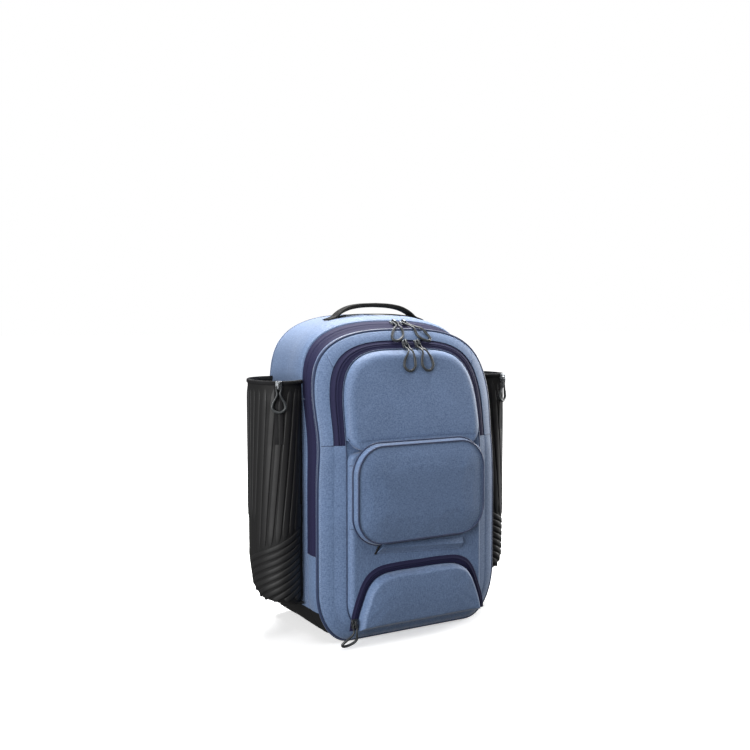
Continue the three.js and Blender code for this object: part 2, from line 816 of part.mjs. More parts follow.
// A moulded loop pull, shaped like a drop: shares of its length and of its half width, from the top bar in
// the slider's window to the tip.
const pullRows = [
  { down: 0, wide: 0.1, thick: 0.5 },
  { down: 0.03, wide: 0.33, thick: 0.5 },
  { down: 0.15, wide: 0.34, thick: 0.6 },
  { down: 0.3, wide: 0.22, thick: 0.75 },
  { down: 0.48, wide: 0.5, thick: 0.75 },
  { down: 0.66, wide: 0.88, thick: 1 },
  { down: 0.82, wide: 1, thick: 1 },
  { down: 0.94, wide: 0.68, thick: 1 },
  { down: 1, wide: 0.22, thick: 1 },
];
// The pull hangs along a line of places, with its width along across.
function pull(line, across) {
  const fall = new THREE.CatmullRomCurve3(line);
  const side = across.clone().normalize();
  const spots = pullRows.map((row) => {
    return { middle: fall.getPointAt(row.down), wide: row.wide * pullHalfWide, thick: row.thick };
  });
  const one = spots.map((s) => s.middle.clone().addScaledVector(side, s.wide));
  const other = spots.map((s) => s.middle.clone().addScaledVector(side, -s.wide)).reverse();
  const thick = [...spots, ...[...spots].reverse()].map((s) => (s.thick * pullThick) / 2);
  const points = [...one, ...other];
  const flat = fall.getTangentAt(0.5).cross(side).normalize();
  return cordRing(points, (k) => thick[k], flat, 4);
}

// Height of the bag's top at a distance behind the piping and a distance from its middle.
function topAt(back, x) {
  const row = bodyRow(back);
  const power = mix(frontArchPower, backArchPower, row.rise);
  const top = mix(frontTop, backTop, row.rise);
  const z = archBase + (top - archBase) * (1 - (Math.abs(x) / bagHalfWidth) ** power) ** (1 / power);
  return vec(x, back + row.lean * lean(z), z);
}

const group = new THREE.Group();
const bagGroup = new THREE.Group();
group.add(bagGroup);

// The largest body of a cut solid, without the crumbs of the cut.
function largest(solid) {
  return solid.decompose().reduce((best, body) => (body.volume() > best.volume() ? body : best));
}

function add(name, solid, look) {
  const made = largest(solid).getMesh();
  const shape = new THREE.BufferGeometry();
  const places = new Float32Array(made.numVert * 3);
  for (let i = 0; i < made.numVert; i += 1) {
    places.set(made.vertProperties.subarray(i * made.numProp, i * made.numProp + 3), i * 3);
  }
  shape.setAttribute("position", new THREE.BufferAttribute(places, 3));
  shape.setIndex(new THREE.BufferAttribute(made.triVerts, 1));
  shape.computeVertexNormals();
  const mesh = new THREE.Mesh(shape, look);
  mesh.name = name;
  bagGroup.add(mesh);
}

const mirrorX = (solid) => solid.mirror([1, 0, 0]);

// Sliders and pulls: where the slider stands, how its window lies, where out is, and the line of the pull.
const tapeMiddle = seamEnd + 0.55 * mainTapeWide;
const clear = pullThick / 2 + gap;
const windowMiddle = (windowLow + windowHigh) / 2;
function addZip(name, place, through, out, line) {
  const up = out.clone().normalize();
  const start = place.clone().addScaledVector(up, windowMiddle + gap);
  const side = through.clone().addScaledVector(up, -through.dot(up)).normalize();
  const ahead = up.clone().cross(side);
  const way = Math.sign(ahead.dot(line[0].clone().sub(start)));
  const past = start.clone().addScaledVector(ahead, way * 0.6 * sliderLong);
  add(`${name}_slider`, slider(place.clone().addScaledVector(up, gap), through, out), greyMetal);
  add(`${name}_pull`, pull([start, past, ...line], through), greyRubber);
}
const mainSliders = [
  { name: "main_zip_left", x: 3, swing: -20 },
  { name: "main_zip_right", x: 23, swing: 24 },
];
// Their pulls bend round the piping, by an angle from straight back, and end on the slope, at a share of it.
const bendRows = [
  { turn: 1.5, swing: 0.3 },
  { turn: 2.4, swing: 0.45 },
];
const hangRows = [
  { slope: 0.3, swing: 0.7 },
  { slope: 0.62, swing: 1 },
];
const pullOff = 1;
const slopeOut = vec(0, -slopeTop, frontDepth).normalize();
mainSliders.forEach(({ name, x, swing }) => {
  const rise = topAt(tubStart, x).sub(topAt(seamEnd, x));
  const off = pipingRadius + clear + pullOff;
  const bend = bendRows.map((row) => {
    const turn = vec(0, off * Math.cos(row.turn), off * Math.sin(row.turn));
    return topAt(0, x + row.swing * swing).add(turn);
  });
  const hang = hangRows.map((row) => {
    return slopeAt(row.slope, x + row.swing * swing).addScaledVector(slopeOut, clear + pullOff);
  });
  addZip(name, topAt(tapeMiddle, x), vec(1, 0, 0), vec(0, -rise.z, rise.y), [...bend, ...hang]);
});
// Front sliders stand on the tape at the top of the slope, and their pulls hang over the upper panel.
const frontZipShare = (frontTapeFrom + frontTapeTo) / 2;
function slopeAt(share, x) {
  const outer = topAt(0, x);
  const high = (1 - (Math.abs(x) / panelShape.half) ** panelArchPower) ** (1 / panelArchPower);
  const z = mix(outer.z, panelShape.archBase + (panelShape.top - panelShape.archBase) * high, share);
  return vec(x, mix(-slopeStart, -frontDepth, share) + lean(z), z);
}
const frontSliders = [
  { name: "front_zip_left", x: -1, swing: -6 },
  { name: "front_zip_right", x: 24, swing: 6 },
];
const frontPullRows = [
  { down: 0.09, swing: 0.3 },
  { down: 0.44, swing: 0.8 },
  { down: 0.82, swing: 1 },
];
frontSliders.forEach(({ name, x, swing }) => {
  const line = frontPullRows.map((row) => {
    const z = panelShape.top - row.down * pullLong;
    return onFront(x + row.swing * swing, z, upperPadHeight + clear + pullOff);
  });
  addZip(name, slopeAt(frontZipShare, x), vec(1, 0, 0), slopeOut, line);
});

// The lower zip's slider stands near the left foot of its tape, with its pull hanging below: shares of the
// pull's length.
const legHigh = 0.14;
const legWide = 0.994;
const lowerPullRows = [
  { aside: 0.02, down: 0.33, off: 0.13 },
  { aside: 0.13, down: 0.56, off: 0.07 },
];
const legX = -(lowerHalfWidth + lowerTapeWide / 2) * legWide;
const legZ = mix(lowerBottom, lowerTop, legHigh);
const legSeat = lowerSeat + tapeThick;
addZip("lower_zip", onFront(legX, legZ, legSeat), vec(1, 0, 0), vec(0, -1, 0), [
  ...lowerPullRows.map((row) =>
    onFront(legX - row.aside * pullLong, legZ - row.down * pullLong, legSeat + row.off * pullLong),
  ),
  onFront(legX - pullLong / 3, lowerPullTip + pullThick / 2, legSeat - pullOff),
]);

add("rear_shell", rearShell, blueCloth);
add("base_boot", baseBoot, blackCloth);
add("zip_gusset", zipGusset, blueCloth);
add("main_zip_tape", mainTape, navyTape);
add("main_piping", mainPiping, navyPiping);
add("front_shell", frontShell, blueCloth);
add("front_zip_tape", frontTape, navyTape);
add("upper_panel", upperPanel, blueCloth);
add("lower_panel", lowerPanel, blueCloth);
add("mid_pocket", midPocket, blueCloth);
add("mid_pocket_rear_piping", midRearPiping, navyPiping);
add("mid_pocket_front_piping", midFrontPiping, navyPiping);
add("welt_flap", weltFlap, blueCloth);
add("lower_pocket", lowerPocket, blueCloth);
add("lower_zip_tape", lowerTape, navyTape);
add("bat_sleeve_right", rightSleeve, blackRubber);
add("bat_sleeve_left", mirrorX(rightSleeve), blackRubber);
add("top_handle", topHandle, blackWebbing);

// Sleeve sliders stand at the mouth, on the rounded front corner.
const notchAlong = 0.27;
const sleevePullRows = [
  { down: 0.49, off: 2 },
  { down: 0.8, off: 0 },
  { down: 1.13, off: 0 },
];
[
  { name: "sleeve_zip_left", side: -1 },
  { name: "sleeve_zip_right", side: 1 },
].forEach(({ name, side }) => {
  const out = sleeveOut(notchAlong, sleeveRowAt(sleeveTop));
  const spot = (z, off) => {
    const point = sleevePoint(notchAlong, sleeveRowAt(z)).addScaledVector(out, off);
    return vec(side * point.x, point.y, z);
  };
  const place = spot(sleeveTop - sliderLong / 2, ribProud);
  const turned = vec(side * out.x, out.y, 0);
  const across = vec(-turned.y, turned.x, 0);
  const hang = ribProud + gap + clear;
  const line = sleevePullRows.map((row) => spot(sleeveTop - row.down * pullLong, hang + row.off * pullOff));
  addZip(name, place, across, turned, line);
});

// Back panel: a padded panel with an air channel down its middle.
const backPanelCorner = 60;
const backRows = [
  { inset: 0, out: 0 },
  { inset: 0, out: 0.55 },
  { inset: 0.4, out: 0.88 },
  { inset: 1, out: 1 },
];
const backRings = backRows.map((row) => {
  const drawn = row.inset * backPanelThick;
  const outline = rounded(
    backPanelHalfWidth - drawn,
    backPanelBottom + drawn,
    backPanelTop - drawn,
    backPanelCorner - drawn,
  );
  return outline.map(([x, z]) => vec(x, bagDepth + gap + row.out * (backPanelThick - gap), z));
});
const backFace = bagDepth + backPanelThick;
const channel = box(
  vec(-backChannelWide / 2, backFace - backChannelDeep, -far),
  vec(backChannelWide / 2, far, far),
);
add("back_panel", loft(backRings).subtract(channel), blackCloth);

// Shoulder straps: shares of the strap's fall, how far out from the bag's middle, and how far off the back.
const strapRows = [
  { fall: 0, out: 0.42, off: -0.64, wide: 0.75 },
  { fall: 0.05, out: 0.42, off: -0.2, wide: 0.8 },
  { fall: 0.14, out: 0.42, off: 0.7, wide: 0.95 },
  { fall: 0.28, out: 0.44, off: 1, wide: 1 },
  { fall: 0.46, out: 0.5, off: 1, wide: 1 },
  { fall: 0.64, out: 0.57, off: 0.85, wide: 1 },
  { fall: 0.82, out: 0.63, off: 0.6, wide: 0.9 },
  { fall: 0.96, out: 0.66, off: 0.4, wide: 0.62 },
  { fall: 1, out: 0.67, off: 0.35, wide: 0.5 },
];
function strapMiddle({ fall, out, off }) {
  const y = backFace + gap + strapThick / 2 + off * strapStandOff;
  return vec(out * bagHalfWidth, y, mix(strapTop, strapBottom, fall));
}
function strapSection(row, before, after) {
  const middle = strapMiddle(row);
  const along = strapMiddle(after).sub(strapMiddle(before)).normalize();
  const across = along.clone().cross(vec(0, 1, 0)).normalize();
  const out = across.clone().cross(along).normalize();
  const half = (row.wide * strapWide) / 2;
  const flat = half - 0.3 * strapThick;
  const thick = strapThick / 2;
  return [
    [-half, 0],
    [-flat, -thick],
    [flat, -thick],
    [half, 0],
    [flat, thick],
    [-flat, thick],
  ].map(([side, up]) => middle.clone().addScaledVector(across, side).addScaledVector(out, up));
}
const strapSections = strapRows.map((row, k) =>
  strapSection(row, strapRows[Math.max(0, k - 1)], strapRows[Math.min(strapRows.length - 1, k + 1)]),
);
const strap = loft(strapSections).subtract(bodyMass(gap)).intersect(above(strapBottom));

// Ladder lock at the strap's lower end, and the webbing that runs from it to the bag's lower corner.
const strapEnd = strapMiddle(strapRows[strapRows.length - 1]);
const anchor = vec(0.88 * bagHalfWidth, bagDepth + gap + webbingThick / 2, webbingFoot);
const lockCentre = strapEnd.clone().add(vec(0, 0, -lockTall / 2 - gap));
const lockShape = new THREE.Shape();
lockShape.moveTo(-lockWide / 2, -lockTall / 2);
lockShape.lineTo(lockWide / 2, -lockTall / 2);
lockShape.lineTo(lockWide / 2, lockTall / 2);
lockShape.lineTo(-lockWide / 2, lockTall / 2);
lockShape.closePath();
const slotWide = webbingWide + 3;
const slotTall = 5;
[-0.26, 0.26].forEach((share) => {
  const slot = new THREE.Path();
  const middle = share * lockTall;
  slot.moveTo(-slotWide / 2, middle - slotTall / 2);
  slot.lineTo(-slotWide / 2, middle + slotTall / 2);
  slot.lineTo(slotWide / 2, middle + slotTall / 2);
  slot.lineTo(slotWide / 2, middle - slotTall / 2);
  slot.closePath();
  lockShape.holes.push(slot);
});
const lockGeometry = new THREE.ExtrudeGeometry(lockShape, { depth: lockThick, bevelEnabled: false });
lockGeometry.translate(0, 0, -lockThick / 2);
lockGeometry.rotateX(Math.PI / 2);
lockGeometry.translate(...lockCentre.toArray());
const ladderLock = solidOf(lockGeometry);
const webbingLine = new THREE.CatmullRomCurve3([
  lockCentre.clone().add(vec(0, 0, -lockTall / 2 - gap)),
  lockCentre.clone().lerp(anchor, 0.5).add(vec(0, webbingSag, 0)),
  anchor.clone().add(vec(0, 0, 0.7 * webbingWide)),
  anchor,
]);
const webbingRows = webbingLine.getPoints(6).map((point) => {
  const half = webbingWide / 2;
  return [-1, 1].map((side) => point.clone().add(vec(side * half, 0, 0)));
});
const webbing = sheet(webbingRows, webbingThick / 2, -webbingThick / 2);

[
  { side: "right", turn: (solid) => solid },
  { side: "left", turn: mirrorX },
].forEach(({ side, turn }) => {
  add(`shoulder_strap_${side}`, turn(strap), blackCloth);
  add(`ladder_lock_${side}`, turn(ladderLock), blackPlastic);
  add(`strap_webbing_${side}`, turn(webbing), blackWebbing);
});

// The bag is set so that the middle of its depth is over the origin.
const reach = new THREE.Box3().setFromObject(bagGroup);
bagGroup.position.set(0, -(reach.min.y + reach.max.y) / 2, -reach.min.z);

export default group;
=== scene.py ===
import math

import bpy
import numpy as np
from mathutils import Matrix, Vector


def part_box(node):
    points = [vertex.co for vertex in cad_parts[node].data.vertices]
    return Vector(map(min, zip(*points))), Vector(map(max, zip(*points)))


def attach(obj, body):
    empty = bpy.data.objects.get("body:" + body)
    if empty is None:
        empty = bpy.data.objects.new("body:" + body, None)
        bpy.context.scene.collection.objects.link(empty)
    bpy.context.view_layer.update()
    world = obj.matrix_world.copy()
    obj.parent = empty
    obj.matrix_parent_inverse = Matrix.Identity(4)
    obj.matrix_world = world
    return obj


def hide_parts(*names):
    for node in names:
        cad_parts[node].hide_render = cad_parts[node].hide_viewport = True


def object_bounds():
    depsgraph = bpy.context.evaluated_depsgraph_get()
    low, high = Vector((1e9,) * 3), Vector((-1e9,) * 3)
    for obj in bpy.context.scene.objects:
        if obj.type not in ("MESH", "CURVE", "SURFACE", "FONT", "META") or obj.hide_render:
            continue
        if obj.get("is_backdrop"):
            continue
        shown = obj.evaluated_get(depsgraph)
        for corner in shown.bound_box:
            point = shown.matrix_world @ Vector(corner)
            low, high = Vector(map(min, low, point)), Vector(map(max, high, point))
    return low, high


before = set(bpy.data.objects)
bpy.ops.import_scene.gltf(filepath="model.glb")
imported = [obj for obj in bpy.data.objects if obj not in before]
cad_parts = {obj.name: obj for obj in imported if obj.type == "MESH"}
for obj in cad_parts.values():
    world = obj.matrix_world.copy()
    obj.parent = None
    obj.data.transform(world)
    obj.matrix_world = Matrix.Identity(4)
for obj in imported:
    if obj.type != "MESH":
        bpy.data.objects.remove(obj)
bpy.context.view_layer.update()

# The camera stands to the bag's left and a little above it, 1.7 m away, as in the photograph. Its lens is a
# 45 mm one on a 36 mm square frame. Lengths are written in millimetres and turned to metres by mm.
mm = 0.001
eye = Vector((-842.95, -1452.94, 536.62)) * mm
aim = Vector((0, 23.35, 436.4)) * mm
lens = bpy.data.cameras.new("camera")
lens.lens = 44.98
lens.sensor_width = 36
camera = bpy.data.objects.new("camera", lens)
bpy.context.scene.collection.objects.link(camera)
camera.location = eye
camera.rotation_euler = (aim - eye).to_track_quat("-Z", "Y").to_euler()
bpy.context.scene.camera = camera


# The studio: a white floor that runs into a white background, a strong soft light from above and behind, a
# large one from the left, a weak one over the camera and one from the right that draws the bag's edge.
def linear(colour):
    """An sRGB hex colour as linear red, green, blue and alpha."""
    parts = [int(colour[i : i + 2], 16) / 255 for i in (1, 3, 5)]
    return (*[c / 12.92 if c <= 0.04045 else ((c + 0.055) / 1.055) ** 2.4 for c in parts], 1.0)


def put(tree, kind, sockets=(), **settings):
    """Adds a node with its settings. A socket gets a value, or a link from another node's output."""
    node = tree.nodes.new("ShaderNode" + kind)
    for name, value in settings.items():
        setattr(node, name, value)
    for name, value in dict(sockets).items():
        if isinstance(value, bpy.types.NodeSocket):
            tree.links.new(value, node.inputs[name])
        else:
            node.inputs[name].default_value = value
    return node


def new_finish(name, colour, roughness, **shader):
    """A material with a colour and roughness, and the tree and shader to build on."""
    finish = bpy.data.materials.new(name)
    finish.use_nodes = True
    tree = finish.node_tree
    skin = tree.nodes["Principled BSDF"]
    skin.inputs["Base Color"].default_value = linear(colour)
    skin.inputs["Roughness"].default_value = roughness
    for socket, value in shader.items():
        skin.inputs[socket.replace("_", " ").title().replace("Ior", "IOR")].default_value = value
    return finish, tree, skin


def soft_light(name, place, size, watts, colour="#ffffff"):
    """A square softbox that looks at the middle of the bag."""
    data = bpy.data.lights.new(name, "AREA")
    data.size = size
    data.energy = watts
    data.color = linear(colour)[:3]
    lamp = bpy.data.objects.new(name, data)
    bpy.context.scene.collection.objects.link(lamp)
    lamp.location = place
    lamp.rotation_euler = (Vector((0, 0, 0.3)) - Vector(place)).to_track_quat("-Z", "Y").to_euler()


soft_light("left_softbox", (-2.1, -0.95, 0.6), 1.5, 58)
soft_light("top_softbox", (0.3, 0.5, 2.0), 1.3, 80)
soft_light("front_softbox", (-0.3, -1.1, 2.1), 1.2, 13)
soft_light("right_softbox", (2.2, 0, 0.8), 1.2, 46)

world = bpy.data.worlds.new("studio")
bpy.context.scene.world = world
world.use_nodes = True
around = world.node_tree
seen = put(around, "LightPath").outputs["Is Camera Ray"]
glow = put(around, "MapRange", {0: seen, 3: 0.15, 4: 1.0})
around.links.new(glow.outputs[0], around.nodes["Background"].inputs["Strength"])
around.nodes["Background"].inputs["Color"].default_value = (1, 1, 1, 1)
bpy.context.scene.view_settings.view_transform = "Standard"

bpy.ops.object.select_all(action="DESELECT")
bpy.ops.mesh.primitive_plane_add(size=60, location=(0, 0, -0.0003))
floor = bpy.context.active_object
floor.name = "studio_floor"
floor.visible_diffuse = floor.visible_glossy = False
paper, tree, skin = new_finish("white_paper", "#f2f2f2", 0.9)
skin.inputs["Specular IOR Level"].default_value = 0.1
# The floor glows at half the background's brightness near the bag, rising to all of it 2 m out: painted light
# that lightens the bag's shadow and blends the floor into the background.
place = put(tree, "TexCoord").outputs["Object"]
away = put(tree, "VectorMath", {0: place}, operation="LENGTH").outputs["Value"]
floor_glow = put(tree, "MapRange", {0: away, 1: 0.4, 2: 2.0, 3: 0.5, 4: 1.0}, interpolation_type="SMOOTHSTEP")
tree.links.new(floor_glow.outputs[0], skin.inputs["Emission Strength"])
skin.inputs["Emission Color"].default_value = (1, 1, 1, 1)
floor.data.materials.append(paper)
floor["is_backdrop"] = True


# Sides, top and back of the main compartment: heather woven polyester over 3 mm of padding, sewn to the zip
# at its front edge and to the back panel behind. Its lowest 52 mm are a boot of black coated polyester.
def rise(low, high, value):
    """A smooth rise from 0 at low to 1 at high."""
    share = np.clip((value - low) / (high - low), 0, 1)
    return share * share * (3 - 2 * share)


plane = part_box("zip_gusset")[0].y - 3.3 * mm
half_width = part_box("rear_shell")[1].x
back_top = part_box("rear_shell")[1].z
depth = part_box("rear_shell")[1].y - plane
boot_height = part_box("base_boot")[1].z
front_top = 518 * mm
arch_base = 318 * mm


def lean(z):
    """How far the front leans back at height z."""
    return 32 * mm * rise(300 * mm, front_top, z)


def evenly(points, count):
    """Places at even steps along a line of points."""
    points = np.array(points, float)
    length = np.concatenate([[0], np.cumsum(np.linalg.norm(np.diff(points, axis=0), axis=1))])
    steps = np.linspace(0, length[-1], count + 1)
    return np.stack([np.interp(steps, length, column) for column in points.T], 1)


def arch_stretches(half, bottom, top, base, power, wide, high):
    """The right half of an arched outline: flat bottom, bottom corner, straight side and arch."""
    turn = np.linspace(0, math.pi / 2, 60)
    corner = np.stack([half - wide * (1 - np.sin(turn)), bottom + high * (1 - np.cos(turn))], 1)
    across, up = np.broadcast_to(power, 2)
    curve = [half * np.cos(turn) ** (2 / across), base + (top - base) * np.sin(turn) ** (2 / up)]
    flat = [[0, bottom], [half - wide, bottom]]
    return [flat, corner, [[half, bottom + high], [half, base]], np.stack(curve, 1)]


def arched(*shape, counts=(12, 16, 24, 44)):
    """A closed arched outline from the middle of its bottom, up the right side and down the left."""
    right = np.concatenate(
        [evenly(part, count)[:-1] for part, count in zip(arch_stretches(*shape), counts)] + [[[0, shape[2]]]]
    )
    return np.concatenate([right, right[1:-1][::-1] * [-1, 1]])


def body_row(back):
    """The top, the arch's powers across and up, and the share of the lean at a distance behind the piping."""
    share = np.clip(back / depth, 0, 1)
    stops = [0, 0.1, 0.2, 0.32, 0.5, 0.75, 1]
    up = np.interp(share, stops, [0, 0.32, 0.62, 0.86, 1, 1, 1])
    leaning = np.interp(share, stops, [1, 1, 1, 0.62, 0.2, 0, 0])
    return front_top + (back_top - front_top) * up, (2.8 - 0.3 * up, 5 + 0.8 * up), leaning


def body_ring(back, inset=0.0):
    """The bag's section at a distance behind the piping, drawn in on all sides."""
    top, power, leaning = body_row(back)
    share = np.clip(back / depth, 0, 1)
    low = 4.5 * mm * max(0, 1 - share / 0.2)
    wide = 58 * mm - min(max(inset, 0), 3 * mm)
    high = (90 - 30 * share) * mm - min(max(inset, 0), 3 * mm)
    ring = arched(half_width - inset, low + inset, top - inset, arch_base, power, wide, high)
    waist = 4 * mm * np.exp(-(((ring[:, 1] - 338 * mm) / (48 * mm)) ** 2)) * max(0, 1 - back / (60 * mm))
    ring[:, 0] -= np.sign(ring[:, 0]) * waist
    return np.stack([ring[:, 0], plane + back + leaning * lean(ring[:, 1]), ring[:, 1]], 1)


def alone(piece):
    """Makes a piece the only selected one, and the active one."""
    bpy.ops.object.select_all(action="DESELECT")
    piece.select_set(True)
    bpy.context.view_layer.objects.active = piece


def edit(piece, *steps, mode="VERT"):
    """Runs edit operators on a piece, all of it selected, each as its name and settings."""
    alone(piece)
    bpy.ops.object.mode_set(mode="EDIT")
    bpy.ops.mesh.select_mode(type=mode)
    bpy.ops.mesh.select_all(action="SELECT")
    for name, settings in steps:
        getattr(bpy.ops.mesh, name)(**settings)
    bpy.ops.object.mode_set(mode="OBJECT")


def lay(name, rows, closed=False, turned=False):
    """A grid laid over rows of places, with a map of its own in metres. It faces along x down."""
    rows = np.array(rows, float)
    if turned:
        rows = rows[::-1]
    if closed:
        rows = np.concatenate([rows, rows[:, :1]], 1)
    down, along = rows.shape[:2]
    bpy.ops.object.select_all(action="DESELECT")
    bpy.ops.mesh.primitive_grid_add(x_subdivisions=along - 1, y_subdivisions=down - 1, size=1)
    piece = bpy.context.active_object
    piece.name = piece.data.name = name
    piece.data.vertices.foreach_set("co", rows.reshape(-1))
    across = np.linalg.norm(np.diff(rows, axis=1), axis=2).mean(0)
    under = np.linalg.norm(np.diff(rows, axis=0), axis=2).mean(1)
    sizes = [np.concatenate([[0], np.cumsum(steps)]) for steps in (across, under)]
    places = np.stack(np.meshgrid(*sizes), -1).reshape(-1, 2)
    corners = np.zeros(len(piece.data.loops), int)
    piece.data.loops.foreach_get("vertex_index", corners)
    piece.data.uv_layers.active.data.foreach_set("uv", places[corners].reshape(-1))
    if closed:
        edit(piece, ("remove_doubles", {"threshold": 1e-6}))
    return piece


def modify(piece, kind, **settings):
    """Adds a modifier with its settings and applies it."""
    alone(piece)
    modifier = piece.modifiers.new(kind.lower(), kind)
    for name, value in settings.items():
        setattr(modifier, name, value)
    bpy.ops.object.modifier_apply(modifier=modifier.name)


def slack(piece, strength, size):
    """Makes a surface a little uneven, as cloth over padding is."""
    clouds = bpy.data.textures.new(piece.name + "_slack", "CLOUDS")
    clouds.noise_scale = size
    modify(piece, "DISPLACE", texture=clouds, strength=strength, mid_level=0.5, texture_coords="LOCAL")


def points_of(piece):
    """The piece's points as rows of x, y and z."""
    places = np.zeros(len(piece.data.vertices) * 3)
    piece.data.vertices.foreach_get("co", places)
    return places.reshape(-1, 3)


def ground(piece):
    """Sets the points that a loose surface has dropped under the floor back on it."""
    places = points_of(piece)
    places[:, 2] = np.maximum(places[:, 2], 0)
    piece.data.vertices.foreach_set("co", places.reshape(-1))
    piece.data.update()


def smooth(piece, angle=40):
    """Smooth shading, with edges sharper than the angle kept."""
    alone(piece)
    bpy.ops.object.shade_smooth_by_angle(angle=math.radians(angle))


def dress(piece, finish, slot, *nodes):
    """Gives a piece its finish, hangs it on the root body and hides the solids it stands for. slot is not
    used.
    """
    piece.data.materials.clear()
    piece.data.materials.append(finish)
    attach(piece, "root")
    if nodes:
        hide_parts(*nodes)
    return piece


# Heather woven polyester: light and dark fibres spun together, so that the blue is never quite even, with a
# fine plain weave and a soft bloom at grazing angles. The threads are 0.4 mm. The weave is drawn at 0.9 mm,
# 1100 to a metre, and the yarn's slubs at 1.2 by 4 mm, 850 and 250 to a metre, coarse enough to show.
def heather(name, yarn, pale, deep):
    finish, tree, skin = new_finish(name, yarn, 0.62, sheen_weight=0.3, sheen_roughness=0.4)
    place = put(tree, "TexCoord").outputs["Object"]
    level = put(tree, "Mapping", {"Vector": place, "Scale": (250, 250, 850)}).outputs[0]
    upright = put(tree, "Mapping", {"Vector": place, "Scale": (850, 850, 250)}).outputs[0]
    weft = put(tree, "TexNoise", {"Vector": level, "Scale": 1.0, "Detail": 3.0}).outputs[0]
    warp = put(tree, "TexNoise", {"Vector": upright, "Scale": 1.0, "Detail": 3.0}).outputs[0]
    fibres = put(tree, "Math", {0: weft, 1: warp}, operation="ADD").outputs[0]
    spun = put(tree, "MapRange", {0: fibres, 1: 0.7, 2: 1.3}).outputs[0]
    ramp = put(tree, "ValToRGB", {0: spun})
    stops = ramp.color_ramp.elements
    stops[0].color, stops[1].color = linear(deep), linear(pale)
    stops[0].position, stops[1].position = 0.1, 0.9
    stops.new(0.5).color = linear(yarn)
    broad = put(tree, "TexNoise", {"Vector": place, "Scale": 11.0, "Detail": 3.0}).outputs[0]
    shade = put(tree, "MapRange", {0: broad, 1: 0.3, 2: 0.7, 3: 0.93, 4: 1.05}).outputs[0]
    toned = put(tree, "Mix", {0: 1.0, 6: ramp.outputs[0], 7: shade}, data_type="RGBA", blend_type="MULTIPLY")
    tree.links.new(toned.outputs[2], skin.inputs["Base Color"])
    weave = put(tree, "TexVoronoi", {"Vector": place, "Scale": 1100.0, "Randomness": 0.25})
    relief = put(tree, "Math", {0: weave.outputs["Distance"], 1: fibres}, operation="ADD").outputs[0]
    bump = put(tree, "Bump", {"Height": relief, "Strength": 0.4, "Distance": 0.2 * mm})
    tree.links.new(bump.outputs[0], skin.inputs["Normal"])
    return finish


blue_cloth = heather("heather_polyester", "#62789b", "#7087ab", "#53688a")


# Coated black polyester of the boot: a plain 600-denier weave under a thin film, dull with a faint grain.
def coated_black(name, colour, pitch, roughness=0.7):
    finish, tree, skin = new_finish(name, colour, roughness)
    skin.inputs["Specular IOR Level"].default_value = 0.3
    place = put(tree, "TexCoord").outputs["Object"]
    weave = put(tree, "TexVoronoi", {"Vector": place, "Scale": 1 / (pitch * mm), "Randomness": 0.15})
    worn = put(tree, "TexNoise", {"Vector": place, "Scale": 40.0, "Detail": 4.0}).outputs[0]
    dusty = put(tree, "MapRange", {0: worn, 1: 0.35, 2: 0.75, 3: roughness - 0.08, 4: roughness + 0.12})
    tree.links.new(dusty.outputs[0], skin.inputs["Roughness"])
    bump = put(tree, "Bump", {"Height": weave.outputs["Distance"], "Strength": 0.5, "Distance": 0.4 * mm})
    tree.links.new(bump.outputs[0], skin.inputs["Normal"])
    return finish


black_boot = coated_black("coated_polyester", "#0f0f10", 1.6, 0.82)


def join(name, pieces):
    """Joins pieces into one."""
    alone(pieces[0])
    for piece in pieces[1:]:
        piece.select_set(True)
    bpy.ops.object.join()
    whole = bpy.context.active_object
    whole.name = whole.data.name = name
    return whole


seam_start = 3.3 * mm
tub_start = 41.1 * mm
wall = 3 * mm
edge_radius = 12 * mm
hem = [
    body_ring(tub_start, 2.2 * mm),
    body_ring(tub_start, 0.7 * mm),
    body_ring(tub_start + 0.8 * mm, -0.2 * mm),
]
stations = np.concatenate([[44, 47, 52], np.linspace(58, (depth - edge_radius) / mm, 20)]) * mm
side_sag = 1.2 * mm
sides = [body_ring(back, side_sag * math.sin(math.pi * rise(50 * mm, depth, back))) for back in stations]
turns = np.linspace(0, math.pi / 2, 7)[1:]
rounding = [
    body_ring(depth - edge_radius * (1 - math.sin(turn)), edge_radius * (1 - math.cos(turn)))
    for turn in turns
]


def drawn_in(ring, share, middle):
    """A ring drawn in towards a point."""
    return middle + (ring - middle) * share


back_middle = np.array([0, plane + depth, arch_base])
back_face = [drawn_in(rounding[-1], share, back_middle) for share in (0.9, 0.75, 0.5, 0.25, 0.08)]
tub = lay("rear_shell_cloth", hem + sides + rounding + back_face, closed=True, turned=True)
slack(tub, 2.2 * mm, 0.07)
boot = tub.copy()
boot.data = tub.data.copy()
bpy.context.scene.collection.objects.link(boot)
cut = {"plane_co": (0, 0, boot_height), "plane_no": (0, 0, 1)}
edit(tub, ("bisect", {**cut, "clear_inner": True}))
edit(boot, ("bisect", {**cut, "clear_outer": True}))
modify(tub, "SOLIDIFY", thickness=wall, offset=-1)
smooth(tub, 50)
dress(tub, blue_cloth, "blue_fabric", "rear_shell")

seam_end = seam_start + 4.5 * mm
foot_backs = (8.1 * mm, 8.6 * mm, 12 * mm, 20 * mm, 30 * mm, 38 * mm, 40.8 * mm, 41.4 * mm)
foot_insets = (1.4, 0.4, 0, 0, 0, 0.1, 0.7, 2.4)
foot_rows = [body_ring(back, inset * mm) for back, inset in zip(foot_backs, foot_insets)]
foot = lay("boot_front", foot_rows, closed=True, turned=True)
edit(foot, ("bisect", {**cut, "clear_outer": True}))
boot = join("base_boot_cloth", [boot, foot])
modify(boot, "SOLIDIFY", thickness=wall, offset=-1)
ground(boot)
smooth(boot, 50)
dress(boot, black_boot, "black_fabric", "base_boot")


